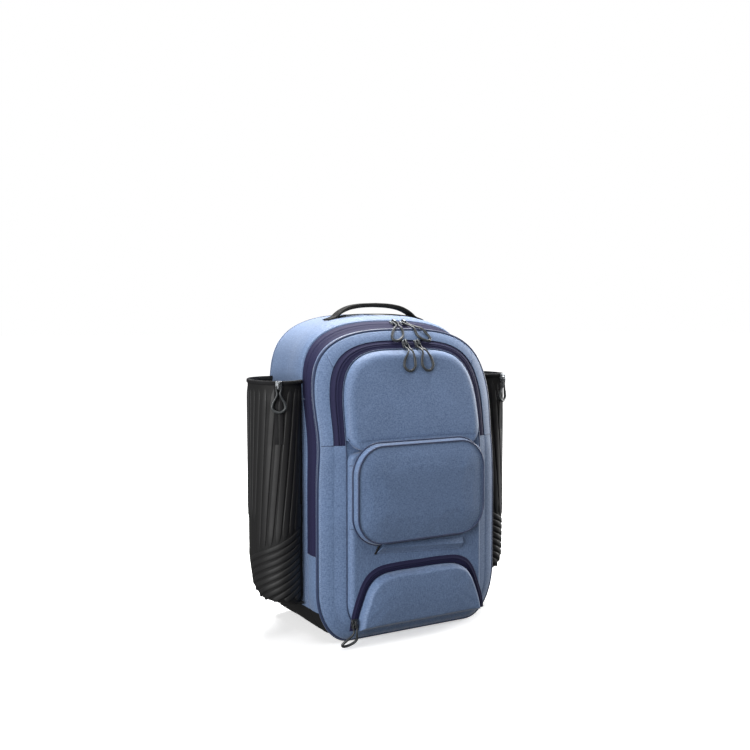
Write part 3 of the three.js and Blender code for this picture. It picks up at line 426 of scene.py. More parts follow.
def cord(name, path, radius, closed=True, sides=4, swell=1.0):
    """A round cord along a line of places. swell is its thickness along the line, as a share."""
    data = bpy.data.curves.new(name, "CURVE")
    data.dimensions = "3D"
    data.bevel_depth = radius
    data.bevel_resolution = sides
    data.use_fill_caps = True
    spline = data.splines.new("POLY")
    spline.points.add(len(path) - 1)
    spline.points.foreach_set("co", np.concatenate([path, np.ones((len(path), 1))], 1).reshape(-1))
    spline.points.foreach_set("radius", np.ones(len(path)) * swell)
    spline.use_cyclic_u = closed
    piece = bpy.data.objects.new(name, data)
    bpy.context.scene.collection.objects.link(piece)
    alone(piece)
    bpy.ops.object.convert(target="MESH")
    piece = bpy.context.active_object
    edit(piece, ("remove_doubles", {"threshold": 1e-6}))
    smooth(piece, 60)
    return piece


def strip(name, path, radius, finish, slot, *nodes, closed=True, sides=4):
    """A finished cord, such as a piping or a sunk seam."""
    return dress(cord(name, path, radius, closed, sides), finish, slot, *nodes)


# Sewing thread of bonded polyester, a shade lighter than the cloth. The cords along the seams are a darker
# heather: the seams are real, but their dark colour is painted shade of the sunk groove where two cloths
# meet.
thread_blue, _, _ = new_finish("polyester_thread", "#8fa5c8", 0.5)
thread_grey, _, _ = new_finish("polyester_thread_grey", "#3a3a3d", 0.5)
seam_shade_blue = heather("sunk_seam", "#384866", "#455878", "#2c3a56")


def stitches(name, path, finish, slot, pitch=3.2 * mm, length=2.3 * mm, thick=0.42 * mm):
    """A row of lockstitches along a line of places: short spindles of thread, end to end."""
    path = np.array(path, float)
    total = np.linalg.norm(np.diff(path, axis=0), axis=1).sum()
    count = max(2, int(total / pitch))
    spots = evenly(path, 2 * count)
    starts, ends = spots[0:-1:2], spots[1::2]
    along = (ends - starts) / np.linalg.norm(ends - starts, axis=1)[:, None]
    middle = (starts + ends) / 2
    helper = np.where(np.abs(along[:, 2:3]) > 0.8, [[1.0, 0, 0]], [[0, 0, 1.0]])
    side = np.cross(along, helper)
    side /= np.linalg.norm(side, axis=1)[:, None]
    up = np.cross(side, along)
    corners = [middle - along * length / 2, middle + along * length / 2]
    corners += [middle + side * thick, middle + up * thick, middle - side * thick, middle - up * thick]
    points = np.stack(corners, 1).reshape(-1, 3)
    faces = []
    for k in range(len(middle)):
        ring = [6 * k + 2, 6 * k + 3, 6 * k + 4, 6 * k + 5]
        for a, b in zip(ring, ring[1:] + ring[:1]):
            faces += [(6 * k, b, a), (6 * k + 1, a, b)]
    mesh = bpy.data.meshes.new(name)
    mesh.from_pydata(points.tolist(), [], faces)
    row = bpy.data.objects.new(name, mesh)
    bpy.context.scene.collection.objects.link(row)
    edit(row, ("normals_make_consistent", {"inside": False}))
    return dress(row, finish, slot)


def above(ring, height):
    """The stretch of a ring above a height, from its left end over the top to its right end."""
    top = int(np.argmax(ring[:, 2]))
    ring = np.roll(ring, -(top + len(ring) // 2), axis=0)
    return ring[ring[:, 2] > height][::-1]


hem_line = above(body_ring(tub_start + 4 * mm, -0.9 * mm), boot_height + 3 * mm)
stitches("tub_hem_stitches", hem_line, thread_blue, "blue_fabric")
back_seam = above(body_ring(depth - 14 * mm, -0.1 * mm), boot_height + 3 * mm)
strip("back_edge_seam", back_seam, 0.8 * mm, seam_shade_blue, "blue_fabric", closed=False)
side_seam_height = 405 * mm
for side, word in ((-1, "left"), (1, "right")):
    across = [
        [side * (half_width + 0.9 * mm), plane + tub_start + d * mm, side_seam_height]
        for d in np.linspace(2, 140, 12)
    ]
    strip(f"side_seam_{word}", np.array(across), 0.7 * mm, seam_shade_blue, "blue_fabric", closed=False)


# The strip of heather cloth between the piping and the zip, which below the zip's ends widens into the gusset
# that runs down to the boot. It is sewn in with the piping.
tape_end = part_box("main_zip_tape")[0].z
gusset_backs = [3.3, 3.8, 5.2, 6.8, 7.8, 8.8, 13, 20, 30, 38, 40.2, 40.8]
gusset_insets = [2.2, 0.3, -0.7, -0.3, 0.5, 0.1, -0.6, -0.9, -0.6, 0.1, 0.7, 1.8]
gusset_rows = [body_ring(back * mm, inset * mm) for back, inset in zip(gusset_backs, gusset_insets)]
gusset = lay("zip_gusset_cloth", gusset_rows, closed=True, turned=True)
for height in (tape_end - 0.3 * mm, boot_height + 0.3 * mm):
    edit(gusset, ("bisect", {"plane_co": (0, 0, height), "plane_no": (0, 0, 1)}))


def drop_faces(piece, test):
    """Deletes the faces whose middle passes a test."""
    alone(piece)
    bpy.ops.object.mode_set(mode="EDIT")
    bpy.ops.mesh.select_mode(type="FACE")
    bpy.ops.mesh.select_all(action="DESELECT")
    bpy.ops.object.mode_set(mode="OBJECT")
    for face in piece.data.polygons:
        face.select = bool(test(face.center))
    bpy.ops.object.mode_set(mode="EDIT")
    bpy.ops.mesh.delete(type="FACE")
    bpy.ops.object.mode_set(mode="OBJECT")


def behind_piping(point):
    """How far a point lies behind the piping's own surface."""
    back = point.y - plane
    for _ in range(4):
        back = point.y - plane - body_row(back)[2] * lean(point.z)
    return back


def off_gusset(point):
    """Whether a point of the strip lies where the zip or the boot takes its place."""
    return not boot_height < point.z < tape_end - 0.3 * mm and behind_piping(point) > seam_end


drop_faces(gusset, off_gusset)
modify(gusset, "SOLIDIFY", thickness=2 * mm, offset=-1)
smooth(gusset, 50)
dress(gusset, blue_cloth, "blue_fabric", "zip_gusset")


# Zips: a woven polyester tape with the coil on its hidden side, so that only a slit between two low ridges
# shows, with the coil's turns faintly felt through. The tape is coated, purple navy and slightly satin.
def coil_tape(name, colour, pale):
    finish, tree, skin = new_finish(name, colour, 0.75)
    skin.inputs["Specular IOR Level"].default_value = 0.2
    chart = put(tree, "TexCoord").outputs["UV"]
    place = put(tree, "TexCoord").outputs["Object"]
    turns = put(tree, "TexWave", {"Vector": chart, "Scale": 62.0}, wave_profile="SIN").outputs[0]
    grain = put(tree, "TexNoise", {"Vector": place, "Scale": 700.0, "Detail": 2.0}).outputs[0]
    both = put(tree, "Math", {0: turns, 1: grain}, operation="ADD").outputs[0]
    tint = put(tree, "Mix", {0: grain, 6: linear(colour), 7: linear(pale)}, data_type="RGBA")
    tree.links.new(tint.outputs[2], skin.inputs["Base Color"])
    bump = put(tree, "Bump", {"Height": both, "Strength": 0.35, "Distance": 0.25 * mm})
    tree.links.new(bump.outputs[0], skin.inputs["Normal"])
    return finish


navy_tape = coil_tape("zip_tape", "#1e1e3a", "#2b2b4a")

# A tape's section: how far across it each point lies, as a share, and how high it stands, in millimetres.
tape_section = [
    (0.0, -1.4), (0.03, -0.9), (0.15, -0.7), (0.28, -0.7), (0.33, 0.2), (0.4, 0.6), (0.46, 0.4),
    (0.482, -1.0), (0.518, -1.0), (0.54, 0.4), (0.6, 0.6), (0.67, 0.2), (0.72, -0.7), (0.85, -0.7),
    (0.97, -0.9), (1.0, -1.4),
]
tape_backs = (seam_end + 0.3 * mm, tub_start - 0.3 * mm)
tape_rows = [
    body_ring(tape_backs[0] + share * (tape_backs[1] - tape_backs[0]), -height * mm)
    for share, height in tape_section
]
main_tape = lay("main_zip_tape_cloth", tape_rows, closed=True, turned=True)
edit(main_tape, ("bisect", {"plane_co": (0, 0, tape_end), "plane_no": (0, 0, 1), "clear_inner": True}))
modify(main_tape, "SOLIDIFY", thickness=0.9 * mm, offset=-1)
smooth(main_tape, 50)
dress(main_tape, navy_tape, "navy_tape", "main_zip_tape")


# Piping along the front edge: a round cord in a bias strip of navy satin, sewn between the two gussets.
def satin(name, colour, pale):
    finish, tree, skin = new_finish(name, colour, 0.42, sheen_weight=0.3)
    place = put(tree, "TexCoord").outputs["Object"]
    twill = put(tree, "TexNoise", {"Vector": place, "Scale": 900.0, "Detail": 1.0}).outputs[0]
    tint = put(tree, "Mix", {0: twill, 6: linear(colour), 7: linear(pale)}, data_type="RGBA")
    tree.links.new(tint.outputs[2], skin.inputs["Base Color"])
    bump = put(tree, "Bump", {"Height": twill, "Strength": 0.3, "Distance": 0.2 * mm})
    tree.links.new(bump.outputs[0], skin.inputs["Normal"])
    return finish


navy_satin = satin("piping_satin", "#1d2b4a", "#2c3e62")
piping_line = body_ring(0, -1.1 * mm) - [0, 0.9 * mm, 0]
strip("main_piping_cord", piping_line, 2.7 * mm, navy_satin, "navy_piping", "main_piping", sides=5)


# The sloping front gusset and the front behind the pads: heather cloth over thin foam, one shell that is sewn
# to the piping outside and turns the corner to the front panel inside, with a slot for the front zip.
panel = {"half": 133, "top": 487, "base": 340, "power": 3.8, "bottom": 25.5, "wide": 34, "high": 48}
front_depth = 22 * mm


def panel_shape(inset=0.0, **changes):
    """The front panel's outline in metres, drawn in on all sides."""
    size = {name: value if name == "power" else value * mm for name, value in {**panel, **changes}.items()}
    return (
        size["half"] - inset, size["bottom"] + inset, size["top"] - inset, size["base"], size["power"],
        max(size["wide"] - inset, 4 * mm), max(size["high"] - inset, 4 * mm),
    )


panel_outline = arched(*panel_shape())


def slope_ring(share, height=0.0):
    """The gusset's section from the piping, 0, to the panel's seam, 1, raised off its slope."""
    outer = body_ring(0)
    x = outer[:, 0] + share * (panel_outline[:, 0] - outer[:, 0])
    z = outer[:, 2] + share * (panel_outline[:, 1] - outer[:, 2])
    y = plane + lean(z) - seam_start + share * (seam_start - front_depth)
    run = np.stack([panel_outline[:, 0] - outer[:, 0], 0 * x, panel_outline[:, 1] - outer[:, 2]], 1)
    run[:, 1] = seam_start - front_depth
    away = np.stack([run[:, 0], -(run[:, 0] ** 2 + run[:, 2] ** 2) / run[:, 1], run[:, 2]], 1)
    away /= -np.linalg.norm(away, axis=1)[:, None]
    return np.stack([x, y, z], 1) + height * away * np.sign(-away[:, 1:2])


def front(x, z, out):
    """A place over the front panel's seam plane, a height out from it."""
    return np.stack(np.broadcast_arrays(x, plane + lean(z) - front_depth - out, z), -1)


tape_from, tape_to = 0.53, 0.985
front_tape_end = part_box("front_zip_tape")[0].z
# The gusset's section: its share and how far it stands proud, in millimetres.
slope_section = [
    (0.0, -1.4), (0.015, 0.3), (0.05, 0.9), (0.12, 1.5), (0.22, 1.9), (0.34, 1.9), (0.46, 1.3),
    (0.53, 0.7), (0.555, 0.3), (0.57, 0.25), (0.66, 0.1), (0.76, -0.1), (0.86, -0.4), (0.94, -0.8),
    (0.98, -1.1), (1.0, -1.2),
]
slope_rows = [slope_ring(share, height * mm) for share, height in slope_section]
panel_middle = front(0.0, 300 * mm, -1.5 * mm)
slope_rows += [drawn_in(slope_rows[-1], share, panel_middle) for share in (0.93, 0.8, 0.6, 0.3, 0.1)]
front_shell = lay("front_shell_cloth", slope_rows, closed=True)
edit(front_shell, ("bisect", {"plane_co": (0, 0, front_tape_end - 0.3 * mm), "plane_no": (0, 0, 1)}))
slot_from = 0.56


def slope_share(point):
    """Where a point over the gusset lies between the piping, 0, and the panel's seam, 1."""
    return (plane + lean(point.z) - seam_start - point.y) / (front_depth - seam_start)


def in_slot(point):
    """Whether a point lies in the slot that the front zip fills."""
    across = abs(point.x) / (panel["half"] * mm)
    up = (point.z - panel["base"] * mm) / ((panel["top"] - panel["base"]) * mm)
    outside = across ** panel["power"] + max(up, 0) ** panel["power"] > 0.985
    return point.z > front_tape_end - 0.3 * mm and outside and slope_share(point) > slot_from


drop_faces(front_shell, in_slot)
modify(front_shell, "SOLIDIFY", thickness=1.1 * mm, offset=-1)
smooth(front_shell, 50)
dress(front_shell, blue_cloth, "blue_fabric", "front_shell")

front_tape_rows = [
    slope_ring(tape_from + (tape_to - tape_from) * share, (height + 0.3) * mm)
    for share, height in tape_section
]
front_tape = lay("front_zip_tape_cloth", front_tape_rows, closed=True)
edit(front_tape, ("bisect", {"plane_co": (0, 0, front_tape_end), "plane_no": (0, 0, 1), "clear_inner": True}))
modify(front_tape, "SOLIDIFY", thickness=0.8 * mm, offset=-1)
smooth(front_tape, 50)
dress(front_tape, navy_tape, "navy_tape", "front_zip_tape")
strip("panel_seam", slope_ring(1.0, 0.3 * mm), 0.9 * mm, seam_shade_blue, "blue_fabric")
stitches("gusset_stitches", slope_ring(0.075, 1.6 * mm), thread_blue, "blue_fabric")


def over_gusset(side, places, height):
    """A line over one side of the gusset through places, each its share across and its height."""
    line = []
    for share, z in places:
        ring = slope_ring(share, height)
        left = ring[len(ring) // 2 :][::-1]
        x, y = [np.interp(z, left[:, 2], left[:, k]) for k in (0, 1)]
        line.append([-side * x, y, z])
    return np.array(line)


# Below the zip's ends a level seam crosses the gusset, and a short stitched dart slants across its arch.
level = [(share, front_tape_end - 0.3 * mm) for share in np.linspace(0.04, 0.53, 9)]
dart = [(0.12 + 0.4 * t, (478 - 20 * t) * mm) for t in np.linspace(0, 1, 8)]
beside = [(share, z + 2.4 * mm) for share, z in dart]
for side, word in ((-1, "left"), (1, "right")):
    seam = over_gusset(side, level, 1.6 * mm)
    strip(f"gusset_seam_{word}", seam, 0.7 * mm, seam_shade_blue, "blue_fabric", closed=False)
    seam = over_gusset(side, dart, 1.5 * mm)
    strip(f"gusset_dart_{word}", seam, 0.5 * mm, seam_shade_blue, "blue_fabric", closed=False)
    row = over_gusset(side, beside, 2.1 * mm)
    stitches(f"gusset_dart_{word}_stitches", row, thread_blue, "blue_fabric")


# Pads on the front: heather cloth over moulded foam with a rolled edge, sewn down all round. The upper one
# is puffed, the lower one carries the pockets.
def quarters(stretches):
    """A closed outline's bottom, right, top and left, each running on from the last, split at its corners."""
    flat, corner, side, arch = [evenly(part, 40) for part in stretches]
    low = np.concatenate([flat, corner[1:21]])
    right = np.concatenate([corner[20:], side[1:], arch[1:21]])
    high = arch[20:]
    flip = np.array([-1, 1])
    return [
        np.concatenate([low[::-1] * flip, low[1:]]),
        right,
        np.concatenate([high, high[::-1][1:] * flip]),
        right[::-1] * flip,
    ]


def fill_outline(name, stretches, place, cells=40, crowd=1.4):
    """A grid spanned between four stretches of a closed outline, finer near them. place gives each point its
    spot from x, z and the distance from the outline."""
    steps = np.linspace(-1, 1, 2 * cells + 1)
    share = (1 + np.sign(steps) * (1 - (1 - np.abs(steps)) ** crowd)) / 2

    def along(line, shares):
        line = evenly(line, 400)
        return np.stack([np.interp(shares, np.linspace(0, 1, 401), column) for column in line.T], 1)

    low, right = along(stretches[0], share), along(stretches[1], share)
    high, left = along(stretches[2], 1 - share), along(stretches[3], 1 - share)
    u, v = share[None, :, None], share[:, None, None]
    spots = (1 - v) * low[None] + v * high[None] + (1 - u) * left[:, None] + u * right[:, None]
    spots -= (1 - u) * (1 - v) * low[0] + u * (1 - v) * low[-1] + (1 - u) * v * high[0] + u * v * high[-1]
    x, z = spots.reshape(-1, 2).T
    rim = np.concatenate([evenly(line, 400) for line in stretches])
    inset = np.array([np.linalg.norm(rim - spot, axis=1).min() for spot in spots.reshape(-1, 2)])
    edge = np.zeros(spots.shape[:2], bool)
    edge[[0, -1]] = edge[:, [0, -1]] = True
    inset[edge.reshape(-1)] = 0
    return lay(name, place(x, z, inset).reshape(*spots.shape[:2], 3))


def close_back(piece):
    """Closes an open face with one flat face behind it."""
    alone(piece)
    bpy.ops.object.mode_set(mode="EDIT")
    bpy.ops.mesh.select_mode(type="EDGE")
    bpy.ops.mesh.select_all(action="DESELECT")
    bpy.ops.mesh.select_non_manifold()
    bpy.ops.mesh.edge_face_add()
    bpy.ops.object.mode_set(mode="OBJECT")


def settle(piece, held, pressure, cap, spare=0.0, frames=20):
    """Lets the cloth of a piece swell over its filling, sewn down at the held points, each point by less than
    the cap. spare is how much longer the cloth is than the pattern, which makes it pucker at the seams."""
    before = points_of(piece)
    group = piece.vertex_groups.new(name="sewn")
    group.add([int(k) for k in np.flatnonzero(held)], 1.0, "REPLACE")
    alone(piece)
    cloth = piece.modifiers.new("cloth", "CLOTH")
    cloth.settings.vertex_group_mass = "sewn"
    cloth.settings.use_pressure = True
    cloth.settings.uniform_pressure_force = pressure
    cloth.settings.shrink_min = -spare
    cloth.settings.effector_weights.gravity = 0
    cloth.settings.quality = 6
    cloth.settings.tension_stiffness = cloth.settings.compression_stiffness = 12
    cloth.settings.bending_stiffness = 0.4
    cloth.point_cache.frame_start, cloth.point_cache.frame_end = 1, frames
    for step in range(1, frames + 1):
        bpy.context.scene.frame_set(step)
    bpy.ops.object.modifier_apply(modifier="cloth")
    bpy.context.scene.frame_set(1)
    moved = points_of(piece) - before
    moved *= cap / (cap + np.linalg.norm(moved, axis=1)[:, None])
    piece.data.vertices.foreach_set("co", (before + moved).reshape(-1))
    piece.vertex_groups.clear()
    piece.data.update()


def rolled(inset, radius):
    """The height share of a rolled edge at a distance in from it."""
    return np.sqrt(1 - (1 - np.clip(inset / radius, 0, 1)) ** 2)


def puffed(x, z, inset):
    """The upper pad's face: a rolled edge, tight along the joint with the pad below, and a slight swell."""
    radius = (1.5 + 14.5 * rise(323 * mm, 350 * mm, z)) * mm
    swell = (1 - (x / (133 * mm)) ** 2) * (1 - ((z - 404 * mm) / (84 * mm)) ** 2)
    return front(x, z, upper_high * 0.93 * rolled(inset, radius) + 1.4 * mm * np.maximum(swell, 0))


def flat_topped(x, z, inset):
    """The lower pad's face: a rolled edge, tight along the joint with the pad above."""
    radius = (1.5 + 7.5 * rise(-321 * mm, -300 * mm, -z)) * mm
    return front(x, z, (lower_high - 0.4 * mm) * rolled(inset, radius))


upper_shape = arch_stretches(*panel_shape(1.5 * mm, bottom=320.5, wide=33.5, high=33.5))
upper_high = 14 * mm
upper = fill_outline("upper_panel_cloth", quarters(upper_shape), puffed)
held = points_of(upper)
settle(upper, held[:, 1] > plane + lean(held[:, 2]) - front_depth - 1.5 * mm, 0.3, 0.8 * mm, 0.003)
close_back(upper)
smooth(upper, 60)
dress(upper, blue_cloth, "blue_fabric", "upper_panel")

split = 322 * mm
lower_shape = arch_stretches(*panel_shape(1.5 * mm, top=split / mm + 1.2, base=288, power=7.6))
lower_high = 12 * mm
lower = fill_outline("lower_panel_cloth", quarters(lower_shape), flat_topped)
close_back(lower)
smooth(lower, 60)
dress(lower, blue_cloth, "blue_fabric", "lower_panel")
for side, word in ((-1, "left"), (1, "right")):
    for z, part in ((300 * mm, "upper"), (196 * mm, "lower")):
        x = np.linspace(130.5, 126, 6) * mm
        tick = front(side * x, z, lower_high * rolled(131.5 * mm - x, 9 * mm) - 0.2 * mm)
        strip(f"panel_tick_{part}_{word}", tick, 0.6 * mm, seam_shade_blue, "blue_fabric", closed=False)


# Middle pocket: a crowned face of heather cloth on a 12 mm side wall, piped in navy where the wall meets the
# panel and again where it meets the face.
def rounded(half, bottom, top, radius):
    """A closed round-cornered outline from the middle of its bottom, up the right side and down the left."""
    turn = np.linspace(0, math.pi / 2, 40)
    low = np.stack([half - radius * (1 - np.sin(turn)), bottom + radius * (1 - np.cos(turn))], 1)
    high = np.stack([half - radius * (1 - np.cos(turn)), top - radius * (1 - np.sin(turn))], 1)
    flat = [[0, bottom], [half - radius, bottom]]
    parts = [flat, low, [low[-1], high[0]], np.concatenate([high, [[0, top]]])]
    runs = [evenly(part, count)[:-1] for part, count in zip(parts, (14, 14, 12, 28))]
    right = np.concatenate(runs + [[[0, top]]])
    return np.concatenate([right, right[1:-1][::-1] * [-1, 1]])


def rounded_quarters(half, bottom, top, radius):
    """A round-cornered outline's bottom, right, top and left, split at the middle of its corners."""
    turn = np.linspace(0, math.pi / 4, 12)
    x, low, high = half - radius, bottom + radius, top - radius
    foot = np.stack([x + radius * np.sin(turn), low - radius * np.cos(turn)], 1)
    heel = np.stack([x + radius * np.cos(turn), low - radius * np.sin(turn)], 1)[::-1]
    flip = np.array([-1, 1])

    def upside(line):
        return np.stack([line[:, 0], bottom + top - line[:, 1]], 1)

    base = np.concatenate([foot[::-1] * flip, foot])
    right = np.concatenate([heel, upside(heel)[::-1]])
    return [base, right, upside(base)[::-1], right[::-1] * flip]


mid_half, mid_low, mid_high, mid_corner = 127 * mm, 167 * mm, 333 * mm, 50 * mm
mid_seat, mid_deep, mid_taper, mid_crown = 12.3 * mm, 12 * mm, 4 * mm, 7 * mm


def mid_ring(inset, height):
    """The pocket's outline drawn in, at a height over the panel's seam plane."""
    ring = rounded(mid_half - inset, mid_low + inset, mid_high - inset, mid_corner - inset)
    return front(ring[:, 0], ring[:, 1], height)


# The side wall's section: how far in, as a share of the taper, how high, as a share of the wall's depth, and
# how far it bows out, in millimetres.
wall_section = [
    (0, 0, 0), (0.1, 0.12, 1.0), (0.3, 0.35, 1.7), (0.55, 0.6, 1.5), (0.85, 0.85, 0.9), (1, 0.97, 0.2),
]
mid_wall = lay(
    "mid_pocket_wall",
    [mid_ring(a * mid_taper - bow * mm, mid_seat + b * mid_deep) for a, b, bow in wall_section],
    closed=True,
)
modify(mid_wall, "SOLIDIFY", thickness=2 * mm, offset=-1)
smooth(mid_wall, 60)
dress(mid_wall, blue_cloth, "blue_fabric")

mid_face = fill_outline(
    "mid_pocket_cloth",
    rounded_quarters(mid_half - mid_taper, mid_low + mid_taper, mid_high - mid_taper, mid_corner - mid_taper),
    lambda x, z, inset: front(
        x, z, mid_seat + mid_deep - 0.6 * mm + mid_crown * (1 - (1 - np.clip(inset / (55 * mm), 0, 1)) ** 2.2)
    ),
)
held = points_of(mid_face)
edge_y = plane + lean(held[:, 2]) - front_depth - mid_seat - mid_deep
settle(mid_face, held[:, 1] > edge_y + 0.2 * mm, 0.15, 0.45 * mm, 0.002)
modify(mid_face, "SOLIDIFY", thickness=2 * mm, offset=-1)
smooth(mid_face, 60)
dress(mid_face, blue_cloth, "blue_fabric", "mid_pocket")

strip(
    "mid_pocket_rear_cord", mid_ring(-1.8 * mm, mid_seat + 1.2 * mm), 1.4 * mm, navy_satin, "navy_piping",
    "mid_pocket_rear_piping",
)
strip(
    "mid_pocket_front_cord", mid_ring(mid_taper - 1.0 * mm, mid_seat + mid_deep + 0.4 * mm), 1.5 * mm,
    navy_satin, "navy_piping", "mid_pocket_front_piping",
)


# Welt flap: a strip of heather cloth folded over the slot of a flat pocket and sewn down below. Its upper
# half tips back and its lower half faces down. Its left end is slanted and gapes, and a near-black cord laid
# in the gap is painted shade.
welt_half, welt_low, welt_high = 84 * mm, 145 * mm, 164 * mm
# The strip's section: its share up the strip, and how far it stands off the panel in millimetres.
welt_section = [
    (0, 0.1), (0.02, 0.9), (0.05, 1.3), (0.09, 0.7), (0.14, 1.4), (0.3, 2.6), (0.44, 4.1), (0.51, 5.2),
    (0.55, 5.5), (0.6, 5.0), (0.75, 3.2), (0.92, 1.5), (0.98, 0.9), (1, 0.1),
]
welt_rows = []
for share, height in welt_section:
    x = np.linspace(-welt_half + 12 * mm * share, welt_half + 6 * mm * share, 60)
    z = welt_low + share * (welt_high - welt_low) - (0.07 - 0.015 * share) * x
    gape = 1.6 * mm * np.exp(-(((x + welt_half - 12 * mm * share) / (9 * mm)) ** 2))
    waves = 0.35 * mm * np.sin(x / (11 * mm) + 2 * share) * np.sin(math.pi * share)
    welt_rows.append(front(x, z, lower_high - 0.3 * mm + height * mm + gape * min(1, 4 * share) + waves))
welt = lay("welt_flap_cloth", welt_rows)
modify(welt, "SOLIDIFY", thickness=0.9 * mm, offset=-1)
smooth(welt, 60)
dress(welt, blue_cloth, "blue_fabric", "welt_flap")
# A near-black finish for the cord in the gap under the flap's left end: painted shade.
dark_lining, _, _ = new_finish("dark_lining", "#0b0c10", 0.9)
opening = [(-86.5, 150.2), (-83.5, 155.5), (-80, 161.5), (-76.5, 167), (-73, 168.6), (-68, 168.4)]
opening_line = [front(x * mm, z * mm, lower_high + 0.4 * mm) for x, z in opening]
strip("welt_opening", np.array(opening_line), 1.5 * mm, dark_lining, "blue_fabric", closed=False)


# Lower pocket: heather cloth that bulges 22 mm over its contents, below a bell-shaped zip. The tape lies flat
# on the panel and the pocket's edge overhangs it.
low_half, low_foot, low_top, low_crown = 121 * mm, 29 * mm, 118 * mm, 22 * mm
bell_rows = np.array(
    [[1, 0], [0.97, 0.22], [0.9, 0.5], [0.82, 0.74], [0.73, 0.88], [0.58, 0.97], [0.3, 1], [0, 1]]
)


def flowing(points, count):
    """Places on a centripetal curve through points, count to each stretch."""
    points = np.array(points, float)
    padded = np.concatenate([[2 * points[0] - points[1]], points, [2 * points[-1] - points[-2]]])
    line = []
    for p0, p1, p2, p3 in zip(padded, padded[1:], padded[2:], padded[3:]):
        t1 = np.linalg.norm(p1 - p0) ** 0.5
        t2 = t1 + np.linalg.norm(p2 - p1) ** 0.5
        t3 = t2 + np.linalg.norm(p3 - p2) ** 0.5
        t = (t1 + (t2 - t1) * np.arange(count) / count)[:, None]
        a1 = ((t1 - t) * p0 + t * p1) / t1
        a2 = ((t2 - t) * p1 + (t - t1) * p2) / (t2 - t1)
        a3 = ((t3 - t) * p2 + (t - t2) * p3) / (t3 - t2)
        b1 = ((t2 - t) * a1 + t * a2) / t2
        b2 = ((t3 - t) * a2 + (t - t1) * a3) / (t3 - t1)
        line.append(((t2 - t) * b1 + (t - t1) * b2) / (t2 - t1))
    return np.concatenate(line + [points[-1:]])


def bell(grow, foot=low_foot):
    """The right half of the pocket's bell from its foot to its top, drawn out."""
    rows = bell_rows * [low_half + grow, low_top + grow - foot] + [0, foot]
    return evenly(flowing(rows, 8), 60)


right_bell = bell(0)
flip = np.array([-1, 1])
bell_quarters = [
    np.array([[-low_half, low_foot], [low_half, low_foot]]),
    right_bell[:28],
    np.concatenate([right_bell[27:], right_bell[27:-1][::-1] * flip]),
    right_bell[:28][::-1] * flip,
]
low_seat = lower_high + 0.3 * mm
lower_face = fill_outline(
    "lower_pocket_cloth",
    bell_quarters,
    lambda x, z, inset: front(
        x, z, low_seat + 1.5 * mm + (low_crown - 7 * mm) * rolled(inset, 7 * mm)
        + 3.5 * mm * (1 - (1 - np.clip(inset / (42 * mm), 0, 1)) ** 2)
    ),
)
held = points_of(lower_face)
settle(lower_face, held[:, 1] > plane - front_depth - low_seat - 1.6 * mm, 0.3, 1.2 * mm, 0.004)
modify(lower_face, "SOLIDIFY", thickness=1.6 * mm, offset=-1)
smooth(lower_face, 60)
dress(lower_face, blue_cloth, "blue_fabric", "lower_pocket")


def whole_bell(grow):
    """The bell from its left foot over the top to its right foot."""
    half = bell(grow)
    return np.concatenate([half * flip, half[::-1][1:]])


bell_tape_rows = []
for share, height in tape_section:
    line = whole_bell((0.3 + 13.7 * share) * mm)
    bell_tape_rows.append(front(line[:, 0], line[:, 1], low_seat + (1.3 + height * 0.9) * mm))
bell_tape = lay("lower_zip_tape_cloth", bell_tape_rows)
modify(bell_tape, "SOLIDIFY", thickness=0.8 * mm, offset=-1)
smooth(bell_tape, 50)
dress(bell_tape, navy_tape, "navy_tape", "lower_zip_tape")


# Bat sleeves: moulded ribbed rubber backed with cloth, open at the top under a bound mouth and sewn to the
# bag's sides. The ribs rise steeply, leaning forward, above a zone of ribs that climb towards the front.
def moulded_rubber(name, colour, roughness, pebble=0.9, strength=0.25):
    finish, tree, skin = new_finish(name, colour, roughness)
    place = put(tree, "TexCoord").outputs["Object"]
    grain = put(tree, "TexNoise", {"Vector": place, "Scale": 1 / (pebble * mm), "Detail": 3.0}).outputs[0]
    smear = put(tree, "TexNoise", {"Vector": place, "Scale": 25.0, "Detail": 4.0}).outputs[0]
    worn = put(tree, "MapRange", {0: smear, 1: 0.3, 2: 0.7, 3: roughness - 0.07, 4: roughness + 0.1})
    tree.links.new(worn.outputs[0], skin.inputs["Roughness"])
    bump = put(tree, "Bump", {"Height": grain, "Strength": strength, "Distance": 0.15 * mm})
    tree.links.new(bump.outputs[0], skin.inputs["Normal"])
    return finish


sleeve_rubber = moulded_rubber("moulded_rubber", "#171718", 0.6)
# The sleeve's skin between the ribs is darker than the ribs: painted shade of the grooves.
sleeve_groove_shade = moulded_rubber("moulded_rubber_ground", "#0c0c0d", 0.75)
sleeve_low, sleeve_top = 60 * mm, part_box("bat_sleeve_right")[1].z
sleeve_rise = sleeve_top - sleeve_low
sleeve_root = half_width + 0.3 * mm
sleeve_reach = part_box("bat_sleeve_right")[1].x - sleeve_root - 1.5 * mm
sleeve_front, sleeve_long = plane + 38 * mm, 144 * mm
plan = flowing(
    [
        [0, 0.14], [0.25, 0.03], [0.62, 0], [0.92, 0.14], [1, 0.36],
        [0.96, 0.57], [0.75, 0.81], [0.41, 0.95], [0, 1],
    ],
    20,
)
# A sleeve's rows: height, reach, and how far its front and rear edges have drawn in, as shares.
sleeve_table = np.array(
    [
        [0, 0.02, 0.1, 0.36], [0.004, 0.55, 0.08, 0.34], [0.03, 0.85, 0.04, 0.27],
        [0.08, 0.97, 0.01, 0.14], [0.2, 1, 0, 0.01], [1, 1, 0, 0],
    ]
)


